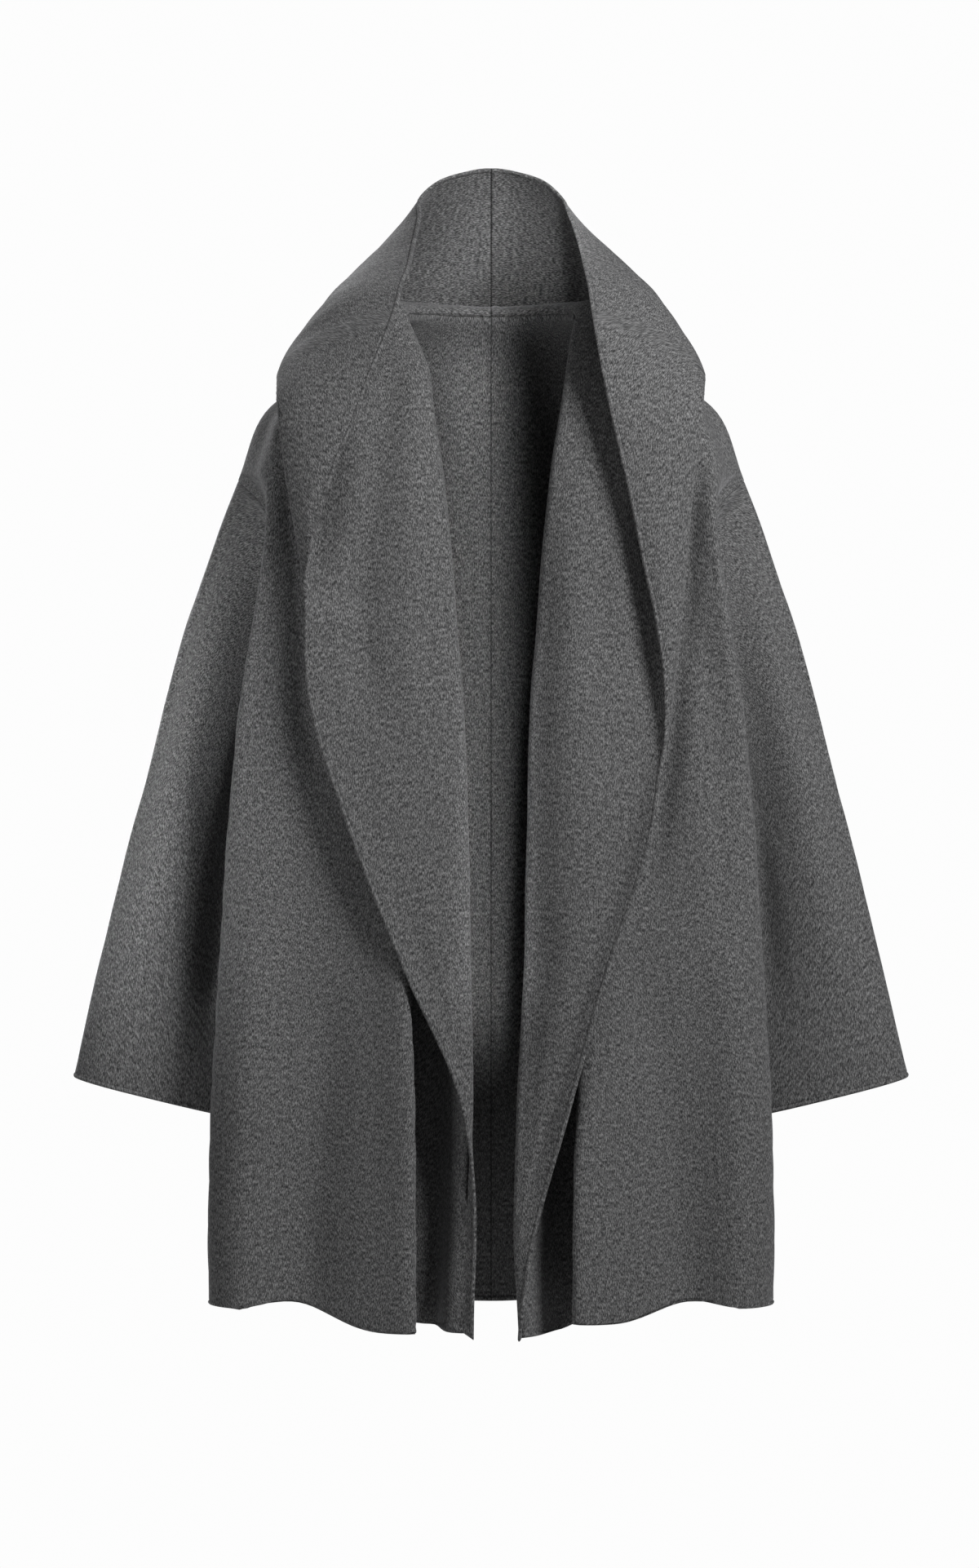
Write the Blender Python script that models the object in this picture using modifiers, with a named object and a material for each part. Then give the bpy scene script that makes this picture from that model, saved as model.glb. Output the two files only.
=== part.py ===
"""Hooded coat in heavy double-faced wool, worn open, as six hollow cloth panels.

Each panel is a surface lofted through sections and given its wall by Solidify.
Tables are in millimetres: out is away from the centre line, back is towards the
wearer's back (+Y), fwd is the other way, up is +Z. The origin is the neck's centre.
"""
from collections import namedtuple

import bmesh
import bpy
import numpy as np

# Driving sizes, in millimetres
MM = 0.001
CLOTH_WALL = 2.4
SEAM_GAP = 0.3
CORNER_GAP = 1.6
UNDERARM_GAP = 1.8
SEAM_FLANGE = 6.0
NECK_STAND = 5.0
NECK_CROWN_OUT = 8.0
NECK_CROWN_UP = 10.0
ROLL_RADIUS = 7.0
ROLL_EDGE_SHARE = 0.6
FOLD_RADIUS = 7.0
FOLD_TIGHT_RADIUS = 2.6
FOLD_RADIUS_SHARE = 0.36
FRONT_BOW_SHARE = 0.055
LAPEL_LIFT = 4.0
LAPEL_FULL_WIDTH = 60.0
TUCK_FULL_WIDTH = 12.0
OVER_FULL_WIDTH = 40.0
TUCK_TAIL = 8.0
TUCK_REACH_SHARE = 0.4
HEM_CORNER_SLOPE = 0.35
HOOD_UNDER_LIFT = 8.0
HOOD_LIFT_OUT = 0.6
HOOD_LIFT_UP = 0.8
HEM_CENTRE_BACK_UP = -986.0
BACK_SIDE_LEVEL = 0.2
BACK_MID_LEVEL = 0.6
CUFF_CENTRE = (326.0, 27.0, -772.0)
CUFF_HALF_WIDTH = 87.5
CUFF_HALF_DEPTH = 36.0
CUFF_SLOPE = 0.247
CUFF_PULL = 0.8
SLEEVE_ROWS = 10

COAT_NAME = "hooded_coat"
CLOTH_COLOUR = (0.075, 0.075, 0.078, 1.0)
CLOTH_ROUGHNESS = 0.9

# Side seam from the hem up to just under the arm, front and back panels meet here
SeamPoint = namedtuple("SeamPoint", "out back up")
SIDE_SEAM = [
    SeamPoint(262, 8, -966),
    SeamPoint(250, 12, -895),
    SeamPoint(228, 20, -780),
    SeamPoint(219, 26, -640),
    SeamPoint(212, 31, -500),
]
SIDE_SEAM_ACROSS = (-0.22, 0.975, 0.0)

# Armhole, from the shoulder point round the front to the underarm and up the back;
# across is the way the cloth runs over the seam, reach is how far the sleeve keeps it
ArmholePoint = namedtuple("ArmholePoint", "out back up across_out across_back across_up reach")
ARMHOLE = {
    "shoulder": ArmholePoint(249, 28, -163, 0.37, 0.00, -0.93, 420),
    "front_upper": ArmholePoint(219, -14, -197, 0.50, 0.60, -0.62, 260),
    "front": ArmholePoint(207, -30, -262, 0.55, 0.80, -0.25, 150),
    "front_lower": ArmholePoint(208, -8, -325, 0.65, 0.60, -0.40, 110),
    "underarm": ArmholePoint(216, 36, -374, 1.00, 0.00, -0.05, 60),
    "back_lower": ArmholePoint(211, 74, -325, 0.68, -0.55, -0.50, 110),
    "back": ArmholePoint(211, 90, -262, 0.78, -0.30, -0.55, 190),
    "back_upper": ArmholePoint(230, 68, -195, 0.62, -0.26, -0.74, 300),
}
ARMHOLE_FRONT = ["underarm", "front_lower", "front", "front_upper", "shoulder"]
ARMHOLE_BACK = ["underarm", "back_lower", "back", "back_upper", "shoulder"]

# Shoulder seam from the shoulder point in to the neck
SHOULDER_SEAM = [
    SeamPoint(222, 27, -97),
    SeamPoint(170, 20, -60),
    SeamPoint(112, 11, -20),
]

# The front's side ridge at each section, hem first, alike on both sides; hollow is how far
# the cloth behind the ridge is pressed in under the sleeve
Ridge = namedtuple("Ridge", "out fwd up hollow")
SIDE_RIDGE = [
    Ridge(272, 50, -965, 0),
    Ridge(273, 50, -900, 4),
    Ridge(270, 53, -780, 10),
    Ridge(262, 57, -640, 12),
    Ridge(252, 60, -500, 15),
    Ridge(239, 64, -374, 20),
    Ridge(230, 66, -316, 8),
    Ridge(221, 68, -256, 2),
    Ridge(214, 68, -199, 2),
    Ridge(210, 62, -158, 0),
    Ridge(196, 42, -104, 0),
    Ridge(155, 22, -64, 0),
    Ridge(106, 4, -26, 0),
]
HOLLOW_SHARE = 0.45

# Hanging folds of the front between side ridge and roll line; a fold is full up to full_up,
# where it has come to full_out, and fades out going up to fade_up
HangingFold = namedtuple("HangingFold", "along full_out depth fade_up full_up hem_up")
FRONT_FOLDS = {
    "right": [
        HangingFold(0.14, 242, 22, -300, -964, -964),
        HangingFold(0.34, 199, -4, -300, -958, -958),
        HangingFold(0.74, 74, 24, -440, -800, -983),
        HangingFold(0.80, 90, -42, -440, -900, -981),
        HangingFold(0.88, 60, -48, -440, -820, -984),
    ],
    "left": [
        HangingFold(0.14, 242, 22, -300, -964, -964),
        HangingFold(0.34, 199, -4, -300, -958, -958),
        HangingFold(0.73, 80, 20, -520, -880, -974),
        HangingFold(0.80, 94, -42, -440, -900, -976),
        HangingFold(0.88, 68, -48, -440, -820, -988),
    ],
}

# Roll line, outer fold and free edge of lapel and hood at each section; turn is 1 where
# the cloth is turned right back at the roll, fold equals edge where there is no outer fold
Lapel = namedtuple(
    "Lapel",
    "roll_out roll_fwd roll_up turn fold_out fold_fwd fold_up edge_out edge_fwd edge_up")
LAPELS = {
    "right": [
        Lapel(31, 91, -987, 0.0, 17, 101, -992, 17, 101, -992),
        Lapel(20.5, 97, -830, 0.3, 17.5, 106, -830, 17.5, 106, -830),
        Lapel(18.5, 99, -770, 0.8, 28, 111, -770, 28, 111, -770),
        Lapel(20, 100, -640, 1.0, 83, 117, -640, 83, 117, -640),
        Lapel(22.5, 99, -500, 1.0, 138, 116, -500, 138, 116, -500),
        Lapel(28, 96, -374, 1.0, 175, 111, -374, 175, 111, -374),
        Lapel(33, 93, -310, 1.0, 178, 109, -310, 178, 109, -310),
        Lapel(38, 90, -250, 1.0, 181, 106, -256, 173, 113, -250),
        Lapel(43, 86, -200, 1.0, 190, 104, -199, 160, 117, -200),
        Lapel(48, 81, -155, 1.0, 197, 100, -159, 145, 119, -155),
        Lapel(55, 72, -108, 1.0, 202, 94, -120, 128, 117, -115),
        Lapel(60, 56, -66, 1.0, 205, 80, -94, 113, 110, -71),
        Lapel(73, 30, -30, 1.0, 206, 58, -79, 96, 100, -27),
    ],
    "left": [
        Lapel(28, 96, -991, 0.6, 26.5, 105, -993, 26.5, 105, -993),
        Lapel(23, 98, -900, 0.9, 41, 110, -900, 41, 110, -900),
        Lapel(25, 99, -780, 1.0, 73, 113, -780, 73, 113, -780),
        Lapel(32, 99, -640, 1.0, 112, 118, -640, 112, 118, -640),
        Lapel(35, 98, -500, 1.0, 155, 116, -500, 155, 116, -500),
        Lapel(39, 95, -374, 1.0, 173, 106, -374, 164, 113, -374),
        Lapel(44, 92, -310, 1.0, 180, 105, -312, 156, 115, -310),
        Lapel(49, 89, -250, 1.0, 186, 104, -253, 143, 117, -250),
        Lapel(54, 85, -200, 1.0, 190, 103, -200, 133, 118, -200),
        Lapel(59, 80, -155, 1.0, 195, 100, -158, 123, 118, -155),
        Lapel(66, 71, -108, 1.0, 200, 94, -120, 114, 116, -115),
        Lapel(73, 55, -66, 1.0, 203, 80, -94, 105, 110, -71),
        Lapel(78, 30, -30, 1.0, 205, 58, -79, 98, 100, -27),
    ],
}
FIRST_HOOD_SECTION = 9

# Hood sections fanned round the neck seam, from the neck corner to the centre back
HoodSection = namedtuple(
    "HoodSection",
    "neck_out neck_back neck_up fold_out fold_back fold_up "
    "right_edge_out left_edge_out edge_back edge_up lift")
HOOD_FAN = [
    HoodSection(82, 5, 0, 207, -34, -68, 89, 95, -82, -3, 12),
    HoodSection(78, 16, 1, 207, -6, -62, 84, 92, -62, 22, 20),
    HoodSection(70, 28, 2, 204, 22, -60, 78, 89, -45, 40, 25),
    HoodSection(59, 38, 3, 197, 54, -68, 74, 85, -22, 64, 30),
    HoodSection(46, 46, 3, 179, 86, -82, 69, 76, 6, 97, 33),
    HoodSection(34, 51, 3, 150, 110, -93, 70, 70, 30, 117, 34),
    HoodSection(22, 54, 3, 108, 127, -100, 51, 51, 50, 138, 34),
    HoodSection(12, 55, 3, 56, 137, -104, 26, 26, 60, 148, 33),
    HoodSection(6, 55, 3, 6, 140, -105, 6, 6, 63, 152, 33),
    HoodSection(0, 55, 3, 0, 140, -105, 0, 0, 63, 152, 33),
]

# Back panels at each section: the centre seam, the middle and the rounding to the side
BackSection = namedtuple("BackSection", "centre_up centre_back mid_out mid_back side_out side_back")
BACK_SECTIONS = [
    BackSection(HEM_CENTRE_BACK_UP, 122, 125, 138, 215, 98),
    BackSection(-900, 122, 122, 134, 208, 98),
    BackSection(-780, 121, 112, 128, 188, 98),
    BackSection(-640, 119, 104, 123, 182, 97),
    BackSection(-500, 116, 98, 119, 178, 96),
    BackSection(-374, 113, 96, 115, 178, 94),
    BackSection(-325, 111, 95, 113, 176, 98),
    BackSection(-262, 107, 93, 109, 174, 101),
    BackSection(-197, 100, 92, 102, 180, 94),
    BackSection(-155, 95, 92, 97, 195, 78),
    BackSection(-90, 82, 88, 80, 178, 57),
    BackSection(-52, 72, 75, 66, 135, 45),
    BackSection(-22, 63, 50, 57, 90, 32),
]

# Rows laid between neighbouring sections, hem to neck, and columns between a row's key points
SECTION_ROWS = [2, 2, 2, 2, 2, 2, 2, 2, 2, 2, 2, 1]
FRONT_COLUMNS = [1, 2, 2, 2, 2, 4, 2, 2, 2, 2]
LAPEL_COLUMNS = [1, 1, 3, 2, 2, 2, 2, 2]
BACK_COLUMNS = [1, 2, 2, 3, 1]
UNDERARM_SECTION = 5
SHOULDER_SECTION = 9


def point(out, back, up):
    """A place in the tables' own directions."""
    return np.array([out, back, up], dtype=float)


def unit(vector):
    """The same direction at length one."""
    return vector / np.linalg.norm(vector)


def mix(start, end, share):
    """The place a share of the way from start to end."""
    return start + (end - start) * share


def ease(share):
    """A soft step from 0 to 1."""
    share = min(max(share, 0.0), 1.0)
    return share * share * (3.0 - 2.0 * share)


def smooth_path(keys, steps):
    """A smooth curve through the keys with the given number of steps in each span."""
    spans = [max(np.linalg.norm(b - a), 1e-6) for a, b in zip(keys, keys[1:])]
    slopes = [(b - a) / span for a, b, span in zip(keys, keys[1:], spans)]
    tangents = [slopes[0]]
    for i in range(1, len(keys) - 1):
        before, after = spans[i - 1], spans[i]
        tangents.append((slopes[i - 1] * after + slopes[i] * before) / (before + after))
    tangents.append(slopes[-1])
    path = [keys[0]]
    for i, count in enumerate(steps):
        for k in range(1, count + 1):
            leave, arrive = tangents[i] * spans[i], tangents[i + 1] * spans[i]
            path.append(hermite(keys[i], keys[i + 1], leave, arrive, k / count))
    return path


def hermite(start, end, leave, arrive, share):
    """A point on the cubic that leaves start and arrives at end with the given tangents."""
    square, cube = share ** 2, share ** 3
    return ((2 * cube - 3 * square + 1) * start + (cube - 2 * square + share) * leave
            + (3 * square - 2 * cube) * end + (cube - square) * arrive)


def armhole_place(name):
    """An armhole point's place."""
    hole = ARMHOLE[name]
    return point(hole.out, hole.back, hole.up)


def armhole_across(name):
    """The way the cloth runs over the armhole seam, from body to sleeve."""
    hole = ARMHOLE[name]
    return unit(point(hole.across_out, hole.across_back, hole.across_up))


def armhole_line(names):
    """Points down one half of the armhole seam and the way the cloth runs over it at each."""
    steps = SECTION_ROWS[UNDERARM_SECTION:SHOULDER_SECTION]
    places = smooth_path([armhole_place(name) for name in names], steps)
    ways = smooth_path([armhole_across(name) for name in names], steps)
    return places, [unit(way) for way in ways]


def panel_seam(armhole_names, flange_sign):
    """A body panel's seam edge, half a gap off the seam, and its flange, row by row from the hem."""
    side_inward = unit(point(*SIDE_SEAM_ACROSS)) * flange_sign
    shoulder_inward = point(0, flange_sign, 0)
    hole, across = armhole_line(armhole_names)
    side_keys = [point(*seam) for seam in SIDE_SEAM] + hole[:1]
    side = smooth_path(side_keys, SECTION_ROWS[:UNDERARM_SECTION])
    shoulder_keys = hole[-1:] + [point(*seam) for seam in SHOULDER_SEAM]
    shoulder = smooth_path(shoulder_keys, SECTION_ROWS[SHOULDER_SECTION:])
    inward = [side_inward] * len(side)
    inward += [-way for way in across[1:-1]]
    inward.append(unit(shoulder_inward - across[-1]))
    inward += [shoulder_inward] * (len(shoulder) - 1)
    seam = side + hole[1:] + shoulder[1:]
    gaps = [SEAM_GAP / 2] * len(seam)
    gaps[len(side) - 1] = gaps[len(side) + len(hole) - 2] = CORNER_GAP
    edge = [place + way * gap for place, way, gap in zip(seam, inward, gaps)]
    flange = [place + way * SEAM_FLANGE for place, way in zip(seam, inward)]
    return edge, flange


def arc_step(length, angle, ahead, aside, share):
    """How far cloth of this length has come after a share of a bend from ahead towards aside."""
    if angle < 1e-3:
        return ahead * length * share
    radius = length / angle
    return radius * (np.sin(angle * share) * ahead + (1 - np.cos(angle * share)) * aside)


def front_fold_keys(folds, ridge, roll_behind, hem_share):
    """Key points of the hanging folds between the side ridge and the roll line."""
    chord = np.linalg.norm(roll_behind - ridge)
    keys = []
    for fold in folds:
        key = mix(ridge, roll_behind, fold.along)
        fullness = ease((fold.fade_up - key[2]) / (fold.fade_up - fold.full_up))
        bow = FRONT_BOW_SHARE * chord * 4 * fold.along * (1 - fold.along)
        key[0] = mix(key[0], fold.full_out, fullness)
        key[1] -= bow + fold.depth * fullness
        key[2] = mix(key[2], fold.hem_up, hem_share)
        keys.append(key)
    return keys


def roll_bend(roll, edge, turn):
    """Where the cloth comes to the roll line, and two points of its bend past it."""
    length = min(np.pi * ROLL_RADIUS, ROLL_EDGE_SHARE * np.linalg.norm(edge - roll))
    ahead = unit(point(-1, -HEM_CORNER_SLOPE * (1 - turn), 0))
    aside = unit(point(0, -1, 0) + ahead * ahead[1])
    bend = [arc_step(length, np.pi * turn, ahead, aside, share) for share in (0.5, 0.75, 1.0)]
    behind = roll - bend[0]
    return behind, behind + bend[1], behind + bend[2]


def neck_bend(neck, fold):
    """Two points of the hood's bend just above the neck seam."""
    away = fold - neck
    away[2] = 0
    rise = neck + point(0, 0, NECK_STAND)
    crown = neck + unit(away) * NECK_CROWN_OUT + point(0, 0, NECK_CROWN_UP)
    return rise, crown


def turned_keys(crown, fold, edge, lift_way, under_lift, over_lift):
    """Key points from the bend at the roll or neck over the outer fold to the free edge."""
    over_width = np.linalg.norm(edge - fold)
    reach = np.linalg.norm(edge - crown)
    tuck = ease(over_width / TUCK_FULL_WIDTH)
    ahead = unit(mix(edge, fold, tuck) - crown)
    aside = unit(lift_way - ahead * np.dot(lift_way, ahead))
    angle = np.pi * tuck
    radius = min(max(over_width * FOLD_RADIUS_SHARE, FOLD_TIGHT_RADIUS), FOLD_RADIUS)
    length = min(np.pi * radius, TUCK_REACH_SHARE * reach)
    tail = mix(min(TUCK_REACH_SHARE * reach, TUCK_TAIL), max(over_width - radius, 0), tuck)
    bend_end = arc_step(length, angle, ahead, aside, 1.0)
    leaving = np.cos(angle) * ahead + np.sin(angle) * aside
    from_edge = edge - bend_end - leaving * tail
    from_fold = fold - (ahead + aside) * radius
    fold_in = mix(from_edge, from_fold, tuck)
    fold_mid = fold_in + arc_step(length, angle, ahead, aside, 0.5)
    fold_out = fold_in + bend_end
    under = mix(crown, fold_in, 0.5) + lift_way * under_lift * min(1.0, reach / LAPEL_FULL_WIDTH) ** 2
    over = mix(fold_out, edge, 0.5) + lift_way * over_lift * tuck * min(1.0, over_width / OVER_FULL_WIDTH)
    return [under, fold_in, fold_mid, fold_out, over, edge]


def lift_directions():
    """The way each lapel and hood section swells: forward low down, up and out on the hood."""
    ways = []
    forward = point(0, -1, 0)
    blend_sections = len(SIDE_RIDGE) - FIRST_HOOD_SECTION + 1
    for i in range(len(SIDE_RIDGE)):
        share = max(0, i - FIRST_HOOD_SECTION) / blend_sections
        ways.append(unit(mix(forward, point(HOOD_LIFT_OUT, 0, HOOD_LIFT_UP), share)))
    for hood in HOOD_FAN:
        radial = unit(point(hood.fold_out, max(0, hood.fold_back), 0))
        ways.append(unit(radial * HOOD_LIFT_OUT + point(0, 0, HOOD_LIFT_UP)))
    return ways


def by_rows(values, steps):
    """Plain numbers of the sections spread evenly over the rows between them."""
    section_rows = [sum(steps[:i]) for i in range(len(values))]
    return np.interp(range(section_rows[-1] + 1), section_rows, values)


def front_rows(side):
    """Rows of points over one front, lapel and hood half, hem to hood centre."""
    seam_line, flange_line = panel_seam(ARMHOLE_FRONT, -1)
    lapels = LAPELS[side]
    steps = SECTION_ROWS + [1] * len(HOOD_FAN)
    rolls = [point(lapel.roll_out, -lapel.roll_fwd, lapel.roll_up) for lapel in lapels]
    rolls += [point(hood.neck_out, hood.neck_back, hood.neck_up + SEAM_GAP) for hood in HOOD_FAN]
    folds = [point(lapel.fold_out, -lapel.fold_fwd, lapel.fold_up) for lapel in lapels]
    folds += [point(hood.fold_out, hood.fold_back, hood.fold_up) for hood in HOOD_FAN]
    edges = [point(lapel.edge_out, -lapel.edge_fwd, lapel.edge_up) for lapel in lapels]
    edge_outs = [getattr(hood, side + "_edge_out") for hood in HOOD_FAN]
    edges += [point(out, hood.edge_back, hood.edge_up) for out, hood in zip(edge_outs, HOOD_FAN)]
    roll_line, fold_line, edge_line, way_line = (
        smooth_path(keys, steps) for keys in (rolls, folds, edges, lift_directions()))
    ridges = [point(ridge.out, -ridge.fwd, ridge.up) for ridge in SIDE_RIDGE]
    ridge_line = smooth_path(ridges, SECTION_ROWS)
    hollow_line = by_rows([ridge.hollow for ridge in SIDE_RIDGE], SECTION_ROWS)
    turn_line = by_rows([lapel.turn for lapel in lapels], SECTION_ROWS)
    under_lifts = by_rows([LAPEL_LIFT] * len(lapels) + [HOOD_UNDER_LIFT] * len(HOOD_FAN), steps)
    over_lifts = by_rows([LAPEL_LIFT] * len(lapels) + [hood.lift for hood in HOOD_FAN], steps)
    hem_rows = SECTION_ROWS[0]
    rows = []
    for r, (roll, fold, edge) in enumerate(zip(roll_line, fold_line, edge_line)):
        body = []
        columns = LAPEL_COLUMNS
        if r < len(seam_line):
            behind, rise, crown = roll_bend(roll, edge, turn_line[r])
            hollow = mix(flange_line[r], ridge_line[r], HOLLOW_SHARE) - point(hollow_line[r], 0, 0)
            hem_share = max(0, 1 - r / hem_rows)
            hanging = front_fold_keys(FRONT_FOLDS[side], ridge_line[r], behind, hem_share)
            body = [seam_line[r], flange_line[r], hollow, ridge_line[r]] + hanging + [behind]
            columns = FRONT_COLUMNS + LAPEL_COLUMNS
        else:
            rise, crown = neck_bend(roll, fold)
        turned = turned_keys(crown, fold, edge, unit(way_line[r]), under_lifts[r], over_lifts[r])
        rows.append(smooth_path(body + [roll, rise, crown] + turned, columns))
    for place in rows[-1]:
        place[0] = SEAM_GAP / 2
    return rows


def key_lines(sections, steps):
    """Each key point's own smooth line through all the sections."""
    return [smooth_path([keys[c] for keys in sections], steps) for c in range(len(sections[0]))]


def back_rows():
    """Rows of points over one back panel, hem to neck, from the side to the centre seam."""
    edge, flange = panel_seam(ARMHOLE_BACK, 1)
    neck = [point(hood.neck_out, hood.neck_back, hood.neck_up) for hood in HOOD_FAN]
    neck[-1][0] = SEAM_GAP / 2
    first_rows = [sum(SECTION_ROWS[:i]) for i in range(len(BACK_SECTIONS))]
    keys = []
    for first_row, back in zip(first_rows, BACK_SECTIONS):
        side_up = edge[first_row][2]
        side = point(back.side_out, back.side_back, mix(side_up, back.centre_up, BACK_SIDE_LEVEL))
        mid = point(back.mid_out, back.mid_back, mix(side_up, back.centre_up, BACK_MID_LEVEL))
        centre_flange = point(SEAM_FLANGE, back.centre_back, back.centre_up)
        centre = point(SEAM_GAP / 2, back.centre_back, back.centre_up)
        keys.append([side, mid, centre_flange, centre])
    lines = [edge, flange] + key_lines(keys, SECTION_ROWS)
    rows = [smooth_path([line[r] for line in lines], BACK_COLUMNS) for r in range(len(edge))]
    neck_flange = [place - point(0, 0, NECK_STAND) for place in neck]
    return rows + [neck_flange, neck]


def sleeve_rows():
    """Rings of points down one sleeve, armhole to cuff."""
    front, front_ways = armhole_line(ARMHOLE_FRONT)
    back, back_ways = armhole_line(ARMHOLE_BACK)
    hole = front[::-1] + back[1:-1]
    across = front_ways[::-1] + back_ways[1:-1]
    order = ARMHOLE_FRONT[::-1] + ARMHOLE_BACK[1:]
    steps = SECTION_ROWS[UNDERARM_SECTION:SHOULDER_SECTION]
    reach = smooth_path([point(ARMHOLE[name].reach, 0, 0) for name in order], steps[::-1] + steps)[:-1]
    width_way = unit(point(1, 0, CUFF_SLOPE))
    down_way = unit(point(CUFF_SLOPE, 0, -1))
    rings = [[] for _ in range(SLEEVE_ROWS + 2)]
    for c, (place, way, pull) in enumerate(zip(hole, across, reach)):
        angle = 2 * np.pi * c / len(hole)
        low = (1 - np.cos(angle)) / 2
        gap = mix(SEAM_GAP / 2, UNDERARM_GAP, low ** 4)
        cuff = point(*CUFF_CENTRE) + width_way * CUFF_HALF_WIDTH * np.cos(angle)
        cuff = cuff - point(0, CUFF_HALF_DEPTH * np.sin(angle), 0)
        start = place + way * SEAM_FLANGE
        arrive = down_way * CUFF_PULL * np.linalg.norm(cuff - place)
        rings[0].append(place + way * gap)
        for r in range(SLEEVE_ROWS + 1):
            rings[r + 1].append(hermite(start, cuff, way * pull[0], arrive, r / SLEEVE_ROWS))
    return rings


def cloth_material(name):
    """Matt charcoal wool."""
    material = bpy.data.materials.new(name)
    material.use_nodes = True
    shader = material.node_tree.nodes["Principled BSDF"]
    shader.inputs["Base Color"].default_value = CLOTH_COLOUR
    shader.inputs["Roughness"].default_value = CLOTH_ROUGHNESS
    shader.inputs["Metallic"].default_value = 0.0
    return material


def add_panel(name, rows, sign, collection, closed=False):
    """A named cloth panel: the lofted surface of the rows with its wall from Solidify."""
    mesh = bmesh.new()
    grid = [[mesh.verts.new((sign * p[0] * MM, p[1] * MM, p[2] * MM)) for p in row] for row in rows]
    for low, high in zip(grid, grid[1:]):
        low = low[len(low) - len(high):]
        if closed:
            low, high = low + low[:1], high + high[:1]
        for i in range(len(low) - 1):
            quad = [low[i], low[i + 1], high[i + 1], high[i]]
            mesh.faces.new(quad if sign < 0 else quad[::-1])
    data = bpy.data.meshes.new(name)
    mesh.to_mesh(data)
    mesh.free()
    data.shade_smooth()
    panel = bpy.data.objects.new(name, data)
    panel.data.materials.append(cloth_material(name + "_wool"))
    collection.objects.link(panel)
    wall = panel.modifiers.new("wall", "SOLIDIFY")
    wall.thickness = CLOTH_WALL * MM
    wall.offset = 0.0
    return panel


def main():
    """Clear the scene and build the coat's six panels."""
    for item in list(bpy.data.objects):
        bpy.data.objects.remove(item, do_unlink=True)
    collection = bpy.data.collections.new(COAT_NAME)
    bpy.context.scene.collection.children.link(collection)
    for side, sign in (("right", -1), ("left", 1)):
        add_panel("front_hood_" + side, front_rows(side), sign, collection)
        add_panel("back_" + side, back_rows(), sign, collection)
        add_panel("sleeve_" + side, sleeve_rows(), sign, collection, closed=True)


main()
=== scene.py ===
"""Looks of the hooded coat: brushed double-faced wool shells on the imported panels, and a pale studio.

Tables are in millimetres: out is away from the centre line, back is towards the wearer's
back (+Y), fwd is the other way, up is +Z. The origin is the centre of the neck.
"""
import math
from collections import namedtuple

import bpy
import numpy as np
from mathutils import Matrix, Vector, noise


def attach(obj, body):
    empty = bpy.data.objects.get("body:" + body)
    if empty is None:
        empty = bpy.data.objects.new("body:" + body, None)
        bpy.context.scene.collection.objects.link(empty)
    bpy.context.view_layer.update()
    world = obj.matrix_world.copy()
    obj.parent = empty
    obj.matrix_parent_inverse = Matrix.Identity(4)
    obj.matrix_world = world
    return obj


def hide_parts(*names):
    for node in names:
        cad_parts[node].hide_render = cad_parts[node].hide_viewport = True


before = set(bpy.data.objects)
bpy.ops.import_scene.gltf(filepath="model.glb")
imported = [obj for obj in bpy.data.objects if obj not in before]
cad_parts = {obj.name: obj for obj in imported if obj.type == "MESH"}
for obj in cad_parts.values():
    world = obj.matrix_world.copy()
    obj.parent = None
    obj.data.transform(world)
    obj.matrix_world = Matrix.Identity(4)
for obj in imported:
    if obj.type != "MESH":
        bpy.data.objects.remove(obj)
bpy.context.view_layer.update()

bl_info = {
    "name": "Hooded coat looks",
    "version": (1, 0, 0),
    "blender": (4, 5, 0),
    "location": "View3D > Sidebar > Coat",
    "description": "Dresses the packed coat panels in brushed wool and sets up the studio",
    "category": "Object",
}

MM = 0.001
SIDES = (("right", -1), ("left", 1))

# Driving sizes of the cut, in millimetres, and shares of such sizes
SEAM_GAP = -0.03
CORNER_GAP = 0.2
UNDERARM_GAP = 0.3
SEAM_FLANGE = 6.0
NECK_STAND = 5.0
NECK_CROWN_OUT = 8.0
NECK_CROWN_UP = 10.0
ROLL_RADIUS = 7.0
ROLL_EDGE_SHARE = 0.6
FOLD_RADIUS = 7.0
FOLD_TIGHT_RADIUS = 2.6
FOLD_RADIUS_SHARE = 0.36
FRONT_BOW_SHARE = 0.055
LAPEL_LIFT = 4.0
LAPEL_FULL_WIDTH = 60.0
TUCK_FULL_WIDTH = 12.0
OVER_FULL_WIDTH = 40.0
TUCK_TAIL = 8.0
TUCK_REACH_SHARE = 0.4
HEM_CORNER_SLOPE = 0.35
HOOD_UNDER_LIFT = 8.0
HOOD_LIFT_OUT = 0.6
HOOD_LIFT_UP = 0.8
HEM_CENTRE_BACK_UP = -986.0
BACK_SIDE_LEVEL = 0.2
BACK_MID_LEVEL = 0.6
CUFF_CENTRE = (326.0, 27.0, -772.0)
CUFF_HALF_WIDTH = 87.5
CUFF_HALF_DEPTH = 36.0
CUFF_SLOPE = 0.247
CUFF_PULL = 0.8
HOLLOW_SHARE = 0.45

# Side seam from the hem up to just under the arm, front and back panels meet here
SeamPoint = namedtuple("SeamPoint", "out back up")
SIDE_SEAM = [
    SeamPoint(262, 8, -966),
    SeamPoint(250, 12, -895),
    SeamPoint(228, 20, -780),
    SeamPoint(219, 26, -640),
    SeamPoint(212, 31, -500),
]
SIDE_SEAM_ACROSS = (-0.22, 0.975, 0.0)

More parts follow.
